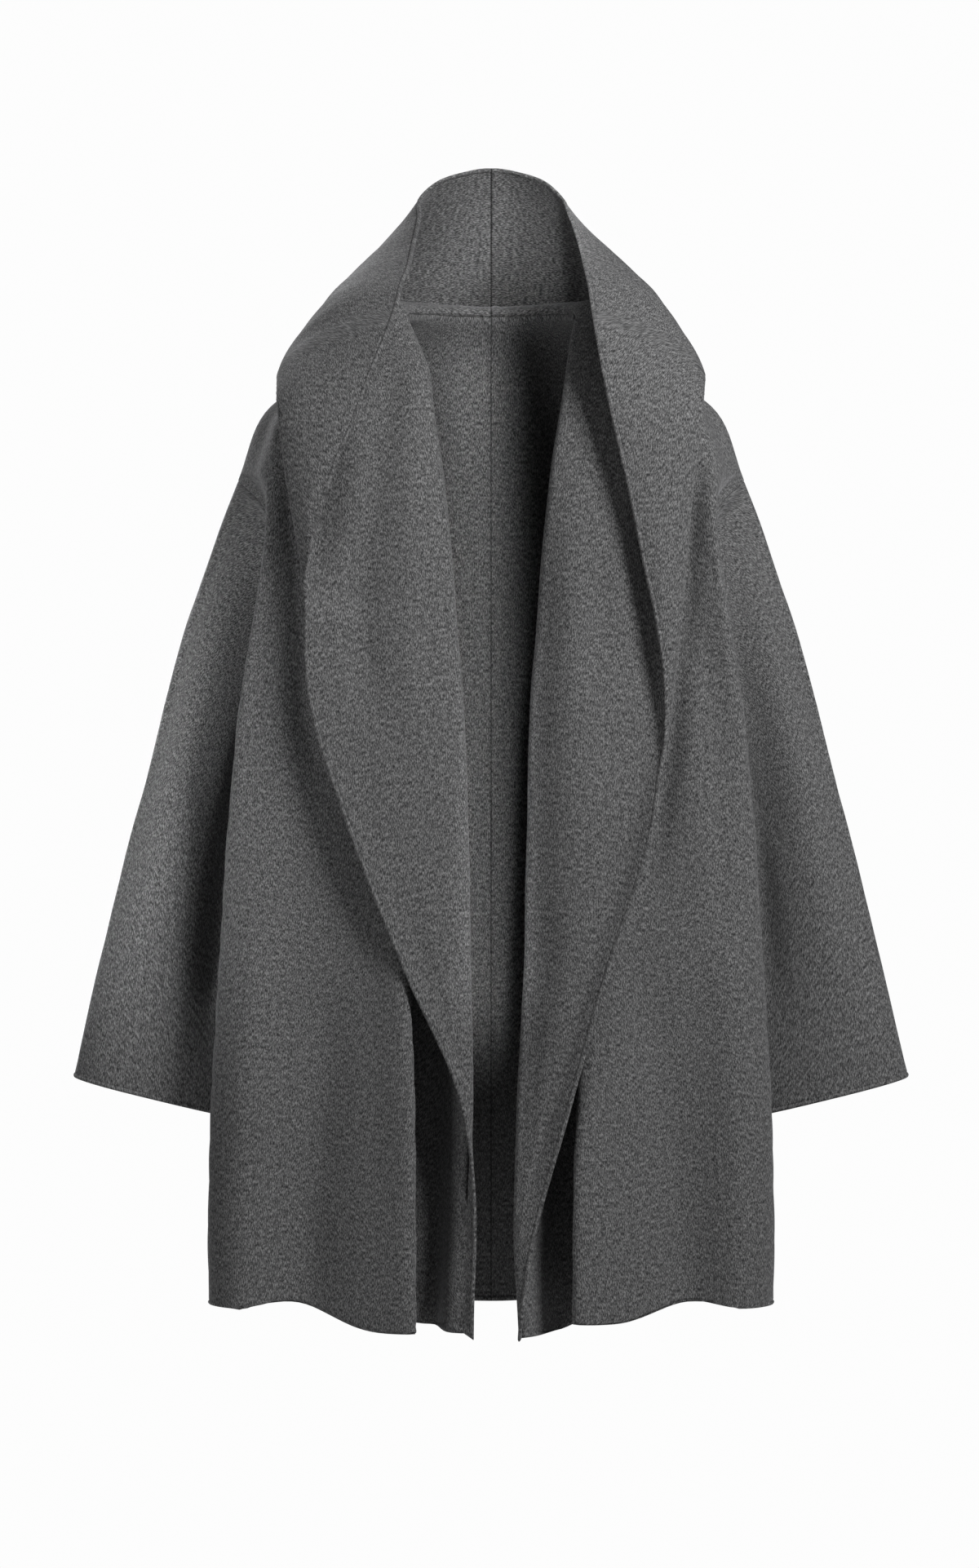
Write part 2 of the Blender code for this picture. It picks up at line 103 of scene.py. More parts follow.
# Armhole, from the shoulder point round the front to the underarm and up the back
ArmholePoint = namedtuple("ArmholePoint", "out back up across_out across_back across_up reach")
ARMHOLE = {
    "shoulder": ArmholePoint(249, 28, -163, 0.37, 0.00, -0.93, 420),
    "front_upper": ArmholePoint(219, -14, -197, 0.50, 0.60, -0.62, 260),
    "front": ArmholePoint(207, -30, -262, 0.55, 0.80, -0.25, 150),
    "front_lower": ArmholePoint(208, -8, -325, 0.65, 0.60, -0.40, 110),
    "underarm": ArmholePoint(216, 36, -374, 1.00, 0.00, -0.05, 60),
    "back_lower": ArmholePoint(211, 74, -325, 0.68, -0.55, -0.50, 110),
    "back": ArmholePoint(211, 90, -262, 0.78, -0.30, -0.55, 190),
    "back_upper": ArmholePoint(230, 68, -195, 0.62, -0.26, -0.74, 300),
}
ARMHOLE_FRONT = ["underarm", "front_lower", "front", "front_upper", "shoulder"]
ARMHOLE_BACK = ["underarm", "back_lower", "back", "back_upper", "shoulder"]
SHOULDER_SEAM = [SeamPoint(222, 27, -97), SeamPoint(170, 20, -60), SeamPoint(112, 11, -20)]

# The front's side ridge at each section, hem first; hollow presses the cloth in behind it
Ridge = namedtuple("Ridge", "out fwd up hollow")
SIDE_RIDGE = [
    Ridge(272, 50, -965, 0),
    Ridge(273, 50, -900, 4),
    Ridge(270, 53, -780, 10),
    Ridge(262, 57, -640, 12),
    Ridge(252, 60, -500, 15),
    Ridge(239, 64, -374, 20),
    Ridge(230, 66, -316, 8),
    Ridge(221, 68, -256, 2),
    Ridge(214, 68, -199, 2),
    Ridge(210, 62, -158, 0),
    Ridge(196, 42, -104, 0),
    Ridge(155, 22, -64, 0),
    Ridge(106, 4, -26, 0),
]

# Hanging folds of the front between side ridge and roll line; a fold is full up to full_up,
# where it has come to full_out, and fades out going up to fade_up
HangingFold = namedtuple("HangingFold", "along full_out depth fade_up full_up hem_up")
FRONT_FOLDS = {
    "right": [
        HangingFold(0.14, 242, 22, -300, -964, -964),
        HangingFold(0.34, 199, -4, -300, -958, -958),
        HangingFold(0.60, 110, 15, -520, -960, -983),
        HangingFold(0.74, 74, 24, -440, -800, -983),
        HangingFold(0.80, 90, -42, -440, -900, -981),
        HangingFold(0.88, 60, -48, -440, -820, -984),
    ],
    "left": [
        HangingFold(0.14, 242, 22, -300, -964, -964),
        HangingFold(0.34, 199, -4, -300, -958, -958),
        HangingFold(0.58, 118, 13, -520, -960, -975),
        HangingFold(0.73, 80, 20, -520, -880, -974),
        HangingFold(0.80, 94, -42, -440, -900, -976),
        HangingFold(0.88, 68, -48, -440, -820, -988),
    ],
}

# Roll line, outer fold and free edge of lapel and hood at each section
Lapel = namedtuple(
    "Lapel",
    "roll_out roll_fwd roll_up turn fold_out fold_fwd fold_up edge_out edge_fwd edge_up")
LAPELS = {
    "right": [
        Lapel(31, 91, -987, 0.0, 17, 101, -992, 17, 101, -992),
        Lapel(20.5, 97, -830, 0.3, 17.5, 106, -830, 17.5, 106, -830),
        Lapel(18.5, 99, -770, 0.8, 28, 111, -770, 28, 111, -770),
        Lapel(20, 100, -640, 1.0, 83, 117, -640, 83, 117, -640),
        Lapel(22.5, 99, -500, 1.0, 138, 116, -500, 138, 116, -500),
        Lapel(28, 96, -374, 1.0, 175, 111, -374, 175, 111, -374),
        Lapel(33, 93, -310, 1.0, 178, 109, -310, 178, 109, -310),
        Lapel(38, 90, -250, 1.0, 181, 106, -256, 173, 113, -250),
        Lapel(43, 86, -200, 1.0, 190, 104, -199, 160, 117, -200),
        Lapel(48, 81, -155, 1.0, 197, 100, -159, 145, 119, -155),
        Lapel(55, 72, -108, 1.0, 202, 94, -120, 128, 117, -115),
        Lapel(60, 56, -66, 1.0, 205, 80, -94, 113, 110, -71),
        Lapel(73, 30, -30, 1.0, 206, 58, -79, 96, 100, -27),
    ],
    "left": [
        Lapel(28, 96, -991, 0.6, 26.5, 105, -993, 26.5, 105, -993),
        Lapel(23, 98, -900, 0.9, 41, 110, -900, 41, 110, -900),
        Lapel(25, 99, -780, 1.0, 73, 113, -780, 73, 113, -780),
        Lapel(32, 99, -640, 1.0, 112, 118, -640, 112, 118, -640),
        Lapel(35, 98, -500, 1.0, 155, 116, -500, 155, 116, -500),
        Lapel(39, 95, -374, 1.0, 173, 106, -374, 164, 113, -374),
        Lapel(44, 92, -310, 1.0, 180, 105, -312, 156, 115, -310),
        Lapel(49, 89, -250, 1.0, 186, 104, -253, 143, 117, -250),
        Lapel(54, 85, -200, 1.0, 190, 103, -200, 133, 118, -200),
        Lapel(59, 80, -155, 1.0, 195, 100, -158, 123, 118, -155),
        Lapel(66, 71, -108, 1.0, 200, 94, -120, 114, 116, -115),
        Lapel(73, 55, -66, 1.0, 203, 80, -94, 105, 110, -71),
        Lapel(78, 30, -30, 1.0, 205, 58, -79, 98, 100, -27),
    ],
}
FIRST_HOOD_SECTION = 9
NECK_CORNER_SECTION = len(SIDE_RIDGE) - 1

# Hood sections fanned round the neck seam, from the neck corner to the centre back
HoodSection = namedtuple(
    "HoodSection",
    "neck_out neck_back neck_up fold_out fold_back fold_up "
    "right_edge_out left_edge_out edge_back edge_up lift")
HOOD_FAN = [
    HoodSection(82, 5, 0, 207, -34, -68, 89, 95, -82, -3, 12),
    HoodSection(78, 16, 1, 207, -6, -62, 84, 92, -62, 22, 20),
    HoodSection(70, 28, 2, 204, 22, -60, 78, 89, -45, 40, 25),
    HoodSection(59, 38, 3, 197, 54, -68, 74, 85, -22, 64, 30),
    HoodSection(46, 46, 3, 179, 86, -82, 69, 76, 6, 97, 33),
    HoodSection(34, 51, 3, 150, 110, -93, 70, 70, 30, 117, 34),
    HoodSection(22, 54, 3, 108, 127, -100, 51, 51, 50, 138, 34),
    HoodSection(12, 55, 3, 56, 137, -104, 26, 26, 60, 148, 33),
    HoodSection(6, 55, 3, 6, 140, -105, 6, 6, 63, 152, 33),
    HoodSection(0, 55, 3, 0, 140, -105, 0, 0, 63, 152, 33),
]

# Back panels at each section: the centre seam, the middle and the rounding to the side
BackSection = namedtuple("BackSection", "centre_up centre_back mid_out mid_back side_out side_back")
BACK_SECTIONS = [
    BackSection(HEM_CENTRE_BACK_UP, 122, 125, 138, 215, 98),
    BackSection(-900, 122, 122, 134, 208, 98),
    BackSection(-780, 121, 112, 128, 188, 98),
    BackSection(-640, 119, 104, 123, 182, 97),
    BackSection(-500, 116, 98, 119, 178, 96),
    BackSection(-374, 113, 96, 115, 178, 94),
    BackSection(-325, 111, 95, 113, 176, 98),
    BackSection(-262, 107, 93, 109, 174, 101),
    BackSection(-197, 100, 92, 102, 180, 94),
    BackSection(-155, 95, 92, 97, 195, 78),
    BackSection(-90, 82, 88, 80, 178, 57),
    BackSection(-52, 72, 75, 66, 135, 45),
    BackSection(-22, 63, 50, 57, 90, 32),
]
BACK_COLUMNS = [1, 2, 2, 3, 1]
UNDERARM_SECTION = 5
SHOULDER_SECTION = 9
NECK_BLEND_SHARES = (0.25, 0.5, 0.75, 1.0)

# Distances from a finished edge, in millimetres, at which the mesh follows its rounded, felled form
FELL_STEPS = [0.0, 0.25, 0.8, 1.6, 2.6, 3.6, 4.1, 4.5, 4.9, 5.6, 7.5]
SEAM_STEPS = [0.0, 0.3, 0.9, 2.0, 3.6, 5.6]

# Rows between neighbouring sections above the first, and columns across each part of a row
ROWS_PER_SECTION = [10, 14, 15, 15, 14, 9, 9, 9, 8, 9, 8, 8]
ROWS_PER_FAN_SECTION = [5, 4, 4, 4, 5, 5, 5, 5, 4, 2]
ARMHOLE_STEPS = 10
BODY_COLUMNS = 66
LAPEL_COLUMNS = 84
BACK_PANEL_COLUMNS = 58
SLEEVE_ROWS = 74
SLEEVE_SAMPLES = 160

# Points taken between two keys of a row, which of a front's keys is its side ridge, and the rows on
# either side of a seam's corner over which the seam turns
DENSE = 16
RIDGE_KEY = 3
CORNER_ROWS = 3

# The felled bands of the free edges, and the wider one beside the hood's centre seam
FELL_WIDTH = 4.5
HOOD_BAND = 8.0
FELLED_HOOD_SIDE = "left"

# How the felled band swells and its groove dips, as shares of the cloth's thickness and the band's width
FELL_PUFF = 0.7
FELL_PUFF_MIDDLE = 0.5
FELL_PUFF_SPREAD = 0.32
FELL_GROOVE = 0.4
FELL_GROOVE_SPREAD = 0.11
THINNEST_SHARE = 0.12

# Distance from a seam or finished edge, in millimetres, up to which it is kept for the painted shade of
# seams and fell grooves
PAINTED_SHADE_REACH = 20.0

# Given in place of that distance where no seam or finished edge is near
FAR = 99.0

# Across a front, the nap's places are counted from the side ridge, and past the roll line from there;
# the first are set back by this run, in millimetres, to keep clear of the others
NAP_RIDGE_RUN = 400.0

# Where each piece lies on the endless nap, in metres, so that no two mirror each other
NAP_SHIFT = {
    "front_hood_right_wool": (0.0, 0.0),
    "front_hood_left_wool": (3.7, 1.3),
    "back_right_wool": (7.1, 2.9),
    "back_left_wool": (9.8, 4.4),
    "sleeve_right_wool": (13.3, 5.2),
    "sleeve_left_wool": (16.9, 6.7),
}

# Soft creases, listed one by one: where they run as seen from the front or back, how wide they
# are, and how far they stand out (or in, below zero)
Crease = namedtuple("Crease", "zone width depth path")
BODY, LAPEL = 0, 1
LEFT_ROLL = [
    (62, -120), (54, -200), (49, -250), (44, -310), (39, -374),
    (35, -500), (32, -640), (25, -780), (23, -920),
]
LEFT_LAPEL_EDGE = [
    (164, -380), (164, -430), (155, -500), (135, -570), (112, -640),
    (92, -710), (73, -780), (57, -840), (41, -900),
]
SLEEVE_RIDGE = [
    (232, -150), (252, -240), (288, -408), (322, -540),
    (352, -640), (378, -730), (400, -820),
]
FRONT_CREASES = {
    "right": [
        Crease(LAPEL, 17, -7, [
            (88, -20), (95, -95), (110, -172), (122, -240), (122, -330), (112, -430)]),
        Crease(LAPEL, 15, 2.5, [(70, -120), (78, -220), (80, -330), (72, -450)]),
        Crease(LAPEL, 22, -2.5, [(60, -480), (66, -580), (52, -680)]),
        Crease(BODY, 5, 2.2, [
            (208, -120), (213, -200), (221, -262), (232, -336), (240, -402), (252, -520)]),
        Crease(BODY, 7, -5, [(217, -92), (215, -150), (218, -190), (226, -260)]),
        Crease(BODY, 13, -8, [
            (203, -100), (197, -150), (191, -200), (184, -260), (181, -330), (177, -400), (150, -500)]),
        Crease(BODY, 4, 2, [(215, -80), (211, -116), (208, -140)]),
        Crease(BODY, 22, -7, [(150, -620), (162, -760), (172, -880), (178, -1040)]),
        Crease(BODY, 26, 3, [(225, -600), (228, -720), (222, -830)]),
    ],
    "left": [
        Crease(LAPEL, 28, -14, LEFT_ROLL),
        Crease(BODY, 28, -14, LEFT_ROLL),
        Crease(LAPEL, 20, -3, [(95, -210), (112, -330), (116, -450), (104, -560)]),
        Crease(LAPEL, 18, 2, [(62, -150), (72, -300), (70, -450)]),
        Crease(LAPEL, 20, -2, [(48, -560), (52, -660), (44, -760)]),
        Crease(LAPEL, 10, 8, LEFT_LAPEL_EDGE),
        Crease(BODY, 5, 2.2, [
            (211, -112), (214, -190), (221, -260), (230, -340), (239, -416), (250, -520)]),
        Crease(BODY, 15, -6, [(200, -250), (206, -330), (214, -420), (222, -540), (226, -660)]),
        Crease(BODY, 14, -13, [
            (203, -100), (196, -150), (191, -200), (187, -260),
            (181, -330), (173, -400), (160, -500), (140, -600)]),
        Crease(BODY, 4.5, 2.4, [(228, -108), (231, -146), (235, -170)]),
        Crease(BODY, 5, -2.6, [(236, -112), (240, -150), (243, -172)]),
        Crease(BODY, 24, -8, [(146, -600), (160, -740), (172, -860), (188, -1040)]),
        Crease(BODY, 20, 3, [(120, -560), (124, -700), (128, -820)]),
    ],
}
BACK_CREASES = {
    "right": [
        Crease(BODY, 26, 4, [(60, -420), (66, -620), (74, -820), (80, -990)]),
        Crease(BODY, 22, -4, [(128, -380), (138, -560), (150, -780), (160, -990)]),
        Crease(BODY, 14, -3, [(186, -240), (150, -300), (110, -330)]),
        Crease(BODY, 12, 2, [(170, -190), (130, -236), (80, -262)]),
    ],
    "left": [
        Crease(BODY, 24, 4, [(74, -460), (78, -640), (90, -840), (98, -990)]),
        Crease(BODY, 20, -4, [(140, -420), (148, -600), (160, -800), (172, -990)]),
        Crease(BODY, 15, -3, [(190, -270), (148, -318), (100, -340)]),
        Crease(BODY, 12, 2, [(172, -200), (140, -254), (96, -284)]),
    ],
}
SLEEVE_CREASES = {
    "right": [
        Crease(BODY, 34, 15, SLEEVE_RIDGE),
        Crease(BODY, 25, -22, [
            (205, -120), (212, -195), (227, -300), (245, -408), (256, -520), (266, -640), (276, -780)]),
        Crease(BODY, 12, -3, [(262, -330), (280, -420), (290, -500)]),
        Crease(BODY, 18, 2.5, [(300, -400), (322, -560), (336, -700)]),
        Crease(BODY, 10, -2, [(252, -210), (272, -250), (288, -300)]),
    ],
    "left": [
        Crease(BODY, 34, 10, SLEEVE_RIDGE),
        Crease(BODY, 20, -12, [
            (213, -110), (224, -197), (238, -300), (259, -476), (268, -620), (276, -760)]),
        Crease(BODY, 13, -3, [(258, -350), (272, -440), (284, -540)]),
        Crease(BODY, 18, 2.5, [(296, -380), (316, -520), (340, -680)]),
        Crease(BODY, 10, -2.2, [(250, -196), (268, -236), (290, -290)]),
        Crease(BODY, 16, -2, [(330, -480), (348, -600), (356, -720)]),
    ],
}

# Creases of fronts and backs end round the side, those of sleeves where the cloth turns from the
# front, and all fade at their own ends and are held flat at seams
CREASE_BACK_LIMIT = 40.0
CREASE_BACK_FADE = 40.0
FACING_GAIN = 1.4
FACING_START = 0.2
CREASE_END_SHARE = 0.25
SEAM_HOLD = 24.0

# Soft random swells of the cloth: their size in millimetres, their share of the height, their seed
Swell = namedtuple("Swell", "size share seed")
SWELLS = [Swell(70.0, 1.0, 3.1), Swell(31.0, 0.5, 8.7)]

# The cut of each kind of piece: width and length of its flat cloth in metres, and its area
Cut = namedtuple("Cut", "flat area")

# Nap and wool: how the hairs wander and sway (in metres), how much of the tone is mottle, where the
# three greys lie on the tone, and how the surface takes light
WANDER_SCALE = 60.0
HAIR_SWAY = (0.0018, 0.002, 0.0)
MOTTLE_SHARE = 0.25
DARK_STOP, MIDDLE_STOP, LIGHT_STOP = 0.35, 0.50, 0.65
NAP_HEIGHT = 0.0012
WOOL_ROUGHNESS = 0.92
WOOL_SPECULAR = 0.15
SHEEN_ROUGHNESS = 0.45
SHEEN_TINT = (0.8, 0.8, 0.82, 1.0)

# Painted shade: share of the tone left at the middle of a seam (a dark seam line deepened by painted
# shade) and in a fell's groove, and half the groove's width in metres
SEAM_DARKEST = 0.35
FELL_DARKEST = 0.88
FELL_LINE_REACH = 0.0011

# Studio lamps: place and target in metres, width and height of the panel, degrees it spreads over
Lamp = namedtuple("Lamp", "place target width height spread")
LAMPS = {
    "key": Lamp((1.56, -1.78, 1.20), (0.0, 0.0, -0.24), 0.9, 0.9, 96),
    "left": Lamp((-2.5, -2.3, 0.35), (0.0, 0.0, -0.40), 1.1, 1.1, 180),
    "behind": Lamp((-1.4, 2.6, 1.3), (0.0, 0.0, -0.45), 1.6, 1.6, 180),
    "side": Lamp((-1.15, -0.62, -0.40), (-0.33, -0.01, -0.43), 0.1, 0.5, 20),
    "inner": Lamp((0.047, -0.42, -0.265), (-0.020, 0.12, -0.38), 0.03, 0.66, 13),
    "hood": Lamp((0.11, -0.42, 0.10), (0.012, 0.10, 0.08), 0.05, 0.05, 22),
}

# Floor, backdrop and camera: colours, sizes in metres, and the camera's sensor in millimetres
STUDIO_WHITE = (0.98, 0.98, 0.98, 1.0)
FLOOR_GREY = (0.55, 0.55, 0.55, 1.0)
FLOOR_RADIUS = 9.0
FLOOR_CORNERS = 96
CAMERA_SIDEWAYS = -0.0016
SENSOR_WIDTH = 36.0


def point(out, back, up):
    """A place in the tables' own directions."""
    return np.array([out, back, up], dtype=float)


def unit(vector):
    """The same direction at length one."""
    return vector / np.linalg.norm(vector)


def mix(start, end, share):
    """The place a share of the way from start to end."""
    return start + (end - start) * share


def ease(share):
    """A soft step from 0 to 1."""
    share = np.clip(share, 0.0, 1.0)
    return share * share * (3.0 - 2.0 * share)


def even(counts):
    """Even shares along each span, one list a span."""
    return [np.arange(1, count + 1) / count for count in counts]


def hermite(start, end, leave, arrive, share):
    """Points on the cubic that leaves start and arrives at end with the given tangents."""
    share = np.asarray(share, dtype=float)[..., None]
    square, cube = share ** 2, share ** 3
    return ((2 * cube - 3 * square + 1) * start + (cube - 2 * square + share) * leave
            + (3 * square - 2 * cube) * end + (cube - square) * arrive)


def smooth_path(keys, shares):
    """A smooth curve through the keys at the given shares of each span."""
    keys = [np.asarray(key, dtype=float) for key in keys]
    spans = [max(np.linalg.norm(b - a), 1e-6) for a, b in zip(keys, keys[1:])]
    slopes = [(b - a) / span for a, b, span in zip(keys, keys[1:], spans)]
    tangents = [slopes[0]]
    for i in range(1, len(keys) - 1):
        before, after = spans[i - 1], spans[i]
        tangents.append((slopes[i - 1] * after + slopes[i] * before) / (before + after))
    tangents.append(slopes[-1])
    path = [keys[0][None]]
    for i, share in enumerate(shares):
        leave, arrive = tangents[i] * spans[i], tangents[i + 1] * spans[i]
        path.append(hermite(keys[i], keys[i + 1], leave, arrive, share))
    return np.concatenate(path)


def smooth_values(values, shares):
    """Plain numbers of the sections spread softly over the rows between them."""
    out = [values[0]]
    for low, high, share in zip(values, values[1:], shares):
        out.extend(mix(low, high, ease(share)))
    return np.array(out)


def run_lengths(line):
    """Distance along a line of points, at each of them."""
    return np.concatenate([[0.0], np.cumsum(np.linalg.norm(np.diff(line, axis=0), axis=1))])


def along_line(line, places):
    """Points at the given distances along a line."""
    runs = run_lengths(line)
    return np.stack([np.interp(places, runs, line[:, k]) for k in range(3)], axis=1)


def spread(length, count, near_start, near_end):
    """Distances across a length: the fine steps given for either end and even ones between."""
    head = np.array(near_start) if len(near_start) else np.array([0.0])
    tail = length - np.array(near_end[::-1]) if len(near_end) else np.array([length])
    inner = np.linspace(head[-1], tail[0], count - len(head) - len(tail) + 2)
    return np.concatenate([head, inner[1:-1], tail])


def armhole_place(name):
    """An armhole point's place."""
    hole = ARMHOLE[name]
    return point(hole.out, hole.back, hole.up)


def armhole_across(name):
    """The way the cloth runs over the armhole seam, from body to sleeve."""
    hole = ARMHOLE[name]
    return unit(point(hole.across_out, hole.across_back, hole.across_up))


def armhole_line(names, shares):
    """Points up one half of the armhole seam and the way the cloth runs over it at each."""
    places = smooth_path([armhole_place(name) for name in names], shares)
    ways = smooth_path([armhole_across(name) for name in names], shares)
    return places, ways / np.linalg.norm(ways, axis=1, keepdims=True)


def body_shares():
    """Where the rows lie between the sections: fine at the felled hem, even above it."""
    hem_height = SIDE_SEAM[1].up - SIDE_SEAM[0].up
    fell = [step / hem_height for step in FELL_STEPS[1:]]
    first = np.concatenate([fell, np.linspace(fell[-1], 1.0, ROWS_PER_SECTION[0] + 1)[1:]])
    return [first] + even(ROWS_PER_SECTION[1:])


def panel_seam(armhole_names, flange_sign, shares):
    """A body panel's seam edge, half a gap off the seam, and its flange, row by row from the hem."""
    side_inward = unit(point(*SIDE_SEAM_ACROSS)) * flange_sign
    shoulder_inward = point(0, flange_sign, 0)
    hole, across = armhole_line(armhole_names, shares[UNDERARM_SECTION:SHOULDER_SECTION])
    side_keys = [point(*seam) for seam in SIDE_SEAM] + [hole[0]]
    side = smooth_path(side_keys, shares[:UNDERARM_SECTION])
    shoulder_keys = [hole[-1]] + [point(*seam) for seam in SHOULDER_SEAM]
    shoulder = smooth_path(shoulder_keys, shares[SHOULDER_SECTION:])
    inward = [side_inward] * len(side)
    inward += [-way for way in across[1:-1]]
    inward.append(unit(shoulder_inward - across[-1]))
    inward += [shoulder_inward] * (len(shoulder) - 1)
    inward = np.array(inward)
    seam = np.concatenate([side, hole[1:], shoulder[1:]])
    rows = np.arange(len(seam))
    gaps = np.full(len(seam), SEAM_GAP / 2)
    corners = (len(side) - 1, len(side) + len(hole) - 2)
    smooth = inward.copy()
    for corner in corners:
        gaps += (CORNER_GAP - SEAM_GAP / 2) * np.clip(1 - abs(rows - corner) / (CORNER_ROWS + 1), 0, 1)
        for r in range(corner - CORNER_ROWS, corner + CORNER_ROWS + 1):
            smooth[r] = unit(inward[max(r - CORNER_ROWS, 0):r + CORNER_ROWS + 1].mean(axis=0))
    edge = seam + smooth * gaps[:, None]
    flange = seam + smooth * SEAM_FLANGE
    return edge, flange


def arc_step(length, angle, ahead, aside, share):
    """How far cloth of this length has come after a share of a bend from ahead towards aside."""
    if angle < 1e-3:
        return ahead * length * share
    radius = length / angle
    return radius * (np.sin(angle * share) * ahead + (1 - np.cos(angle * share)) * aside)


def front_fold_keys(folds, ridge, roll_behind, hem_share):
    """Key points of the hanging folds between the side ridge and the roll line."""
    chord = np.linalg.norm(roll_behind - ridge)
    keys = []
    for fold in folds:
        key = mix(ridge, roll_behind, fold.along)
        fullness = ease((fold.fade_up - key[2]) / (fold.fade_up - fold.full_up))
        bow = FRONT_BOW_SHARE * chord * 4 * fold.along * (1 - fold.along)
        key[0] = mix(key[0], fold.full_out, fullness)
        key[1] -= bow + fold.depth * fullness
        key[2] = mix(key[2], fold.hem_up, hem_share)
        keys.append(key)
    return keys


def roll_bend(roll, edge, turn):
    """Where the cloth comes to the roll line, and two points of its bend past it."""
    length = min(np.pi * ROLL_RADIUS, ROLL_EDGE_SHARE * np.linalg.norm(edge - roll))
    ahead = unit(point(-1, -HEM_CORNER_SLOPE * (1 - turn), 0))
    aside = unit(point(0, -1, 0) + ahead * ahead[1])
    bend = [arc_step(length, np.pi * turn, ahead, aside, share) for share in (0.5, 0.75, 1.0)]
    behind = roll - bend[0]
    return behind, behind + bend[1], behind + bend[2]


def neck_bend(neck, fold):
    """Two points of the hood's bend just above the neck seam."""
    away = fold - neck
    away[2] = 0
    rise = neck + point(0, 0, NECK_STAND)
    crown = neck + unit(away) * NECK_CROWN_OUT + point(0, 0, NECK_CROWN_UP)
    return rise, crown


def turned_keys(crown, fold, edge, lift_way, under_lift, over_lift):
    """Key points from the bend at the roll or neck over the outer fold to the free edge."""
    over_width = np.linalg.norm(edge - fold)
    reach = np.linalg.norm(edge - crown)
    tuck = ease(over_width / TUCK_FULL_WIDTH)
    ahead = unit(mix(edge, fold, tuck) - crown)
    aside = unit(lift_way - ahead * np.dot(lift_way, ahead))
    angle = np.pi * tuck
    radius = min(max(over_width * FOLD_RADIUS_SHARE, FOLD_TIGHT_RADIUS), FOLD_RADIUS)
    length = min(np.pi * radius, TUCK_REACH_SHARE * reach)
    tail = mix(min(TUCK_REACH_SHARE * reach, TUCK_TAIL), max(over_width - radius, 0), tuck)
    bend_end = arc_step(length, angle, ahead, aside, 1.0)
    leaving = np.cos(angle) * ahead + np.sin(angle) * aside
    from_edge = edge - bend_end - leaving * tail
    from_fold = fold - (ahead + aside) * radius
    fold_in = mix(from_edge, from_fold, tuck)
    fold_mid = fold_in + arc_step(length, angle, ahead, aside, 0.5)
    fold_out = fold_in + bend_end
    under = mix(crown, fold_in, 0.5) + lift_way * under_lift * min(1.0, reach / LAPEL_FULL_WIDTH) ** 2
    over = mix(fold_out, edge, 0.5) + lift_way * over_lift * tuck * min(1.0, over_width / OVER_FULL_WIDTH)
    return [under, fold_in, fold_mid, fold_out, over, edge]


def lift_directions():
    """The way each lapel and hood section swells: forward low down, up and out on the hood."""
    ways = []
    forward = point(0, -1, 0)
    blend_sections = len(SIDE_RIDGE) - FIRST_HOOD_SECTION + 1
    for i in range(len(SIDE_RIDGE)):
        share = max(0, i - FIRST_HOOD_SECTION) / blend_sections
        ways.append(unit(mix(forward, point(HOOD_LIFT_OUT, 0, HOOD_LIFT_UP), share)))
    for hood in HOOD_FAN:
        radial = unit(point(hood.fold_out, max(0, hood.fold_back), 0))
        ways.append(unit(radial * HOOD_LIFT_OUT + point(0, 0, HOOD_LIFT_UP)))
    return ways


class Cloth:
    """One cut piece as a middle surface: points, faces, lie of the nap and distances from its edges."""

    def __init__(self):
        self.points = np.zeros((0, 3))
        self.faces = []
        self.lie = []
        self.edge_run = np.zeros(0)
        self.seam_run = np.zeros(0)
        self.zone = np.zeros(0, dtype=int)

    def add_points(self, points, edge_run, seam_run, zone):
        """Puts in points with their distances from edge and seam and their zones; gives their numbers."""
        first = len(self.points)
        self.points = np.concatenate([self.points, points])
        self.edge_run = np.concatenate([self.edge_run, edge_run])
        self.seam_run = np.concatenate([self.seam_run, seam_run])
        self.zone = np.concatenate([self.zone, zone])
        return np.arange(first, first + len(points))

    def add_strip(self, low, high, low_lie, high_lie):
        """Faces between two neighbouring rows of points, given with the lie of the nap at each."""
        for i in range(len(low) - 1):
            self.faces.append((low[i], low[i + 1], high[i + 1], high[i]))
            self.lie.append((low_lie[i], low_lie[i + 1], high_lie[i + 1], high_lie[i]))

    def normals(self):
        """The way each point of the middle surface faces."""
        faces = np.array(self.faces)
        corner = self.points[faces]
        face_way = np.cross(corner[:, 2] - corner[:, 0], corner[:, 3] - corner[:, 1])
        ways = np.zeros_like(self.points)
        for k in range(4):
            np.add.at(ways, faces[:, k], face_way)
        return ways / np.maximum(np.linalg.norm(ways, axis=1, keepdims=True), 1e-9)


FrontLines = namedtuple(
    "FrontLines",
    "seam flange ridge hollow roll fold edge lift_way turn under_lift over_lift section")
FrontRow = namedtuple("FrontRow", "points edge_run seam_run zone lapel_across body_across")


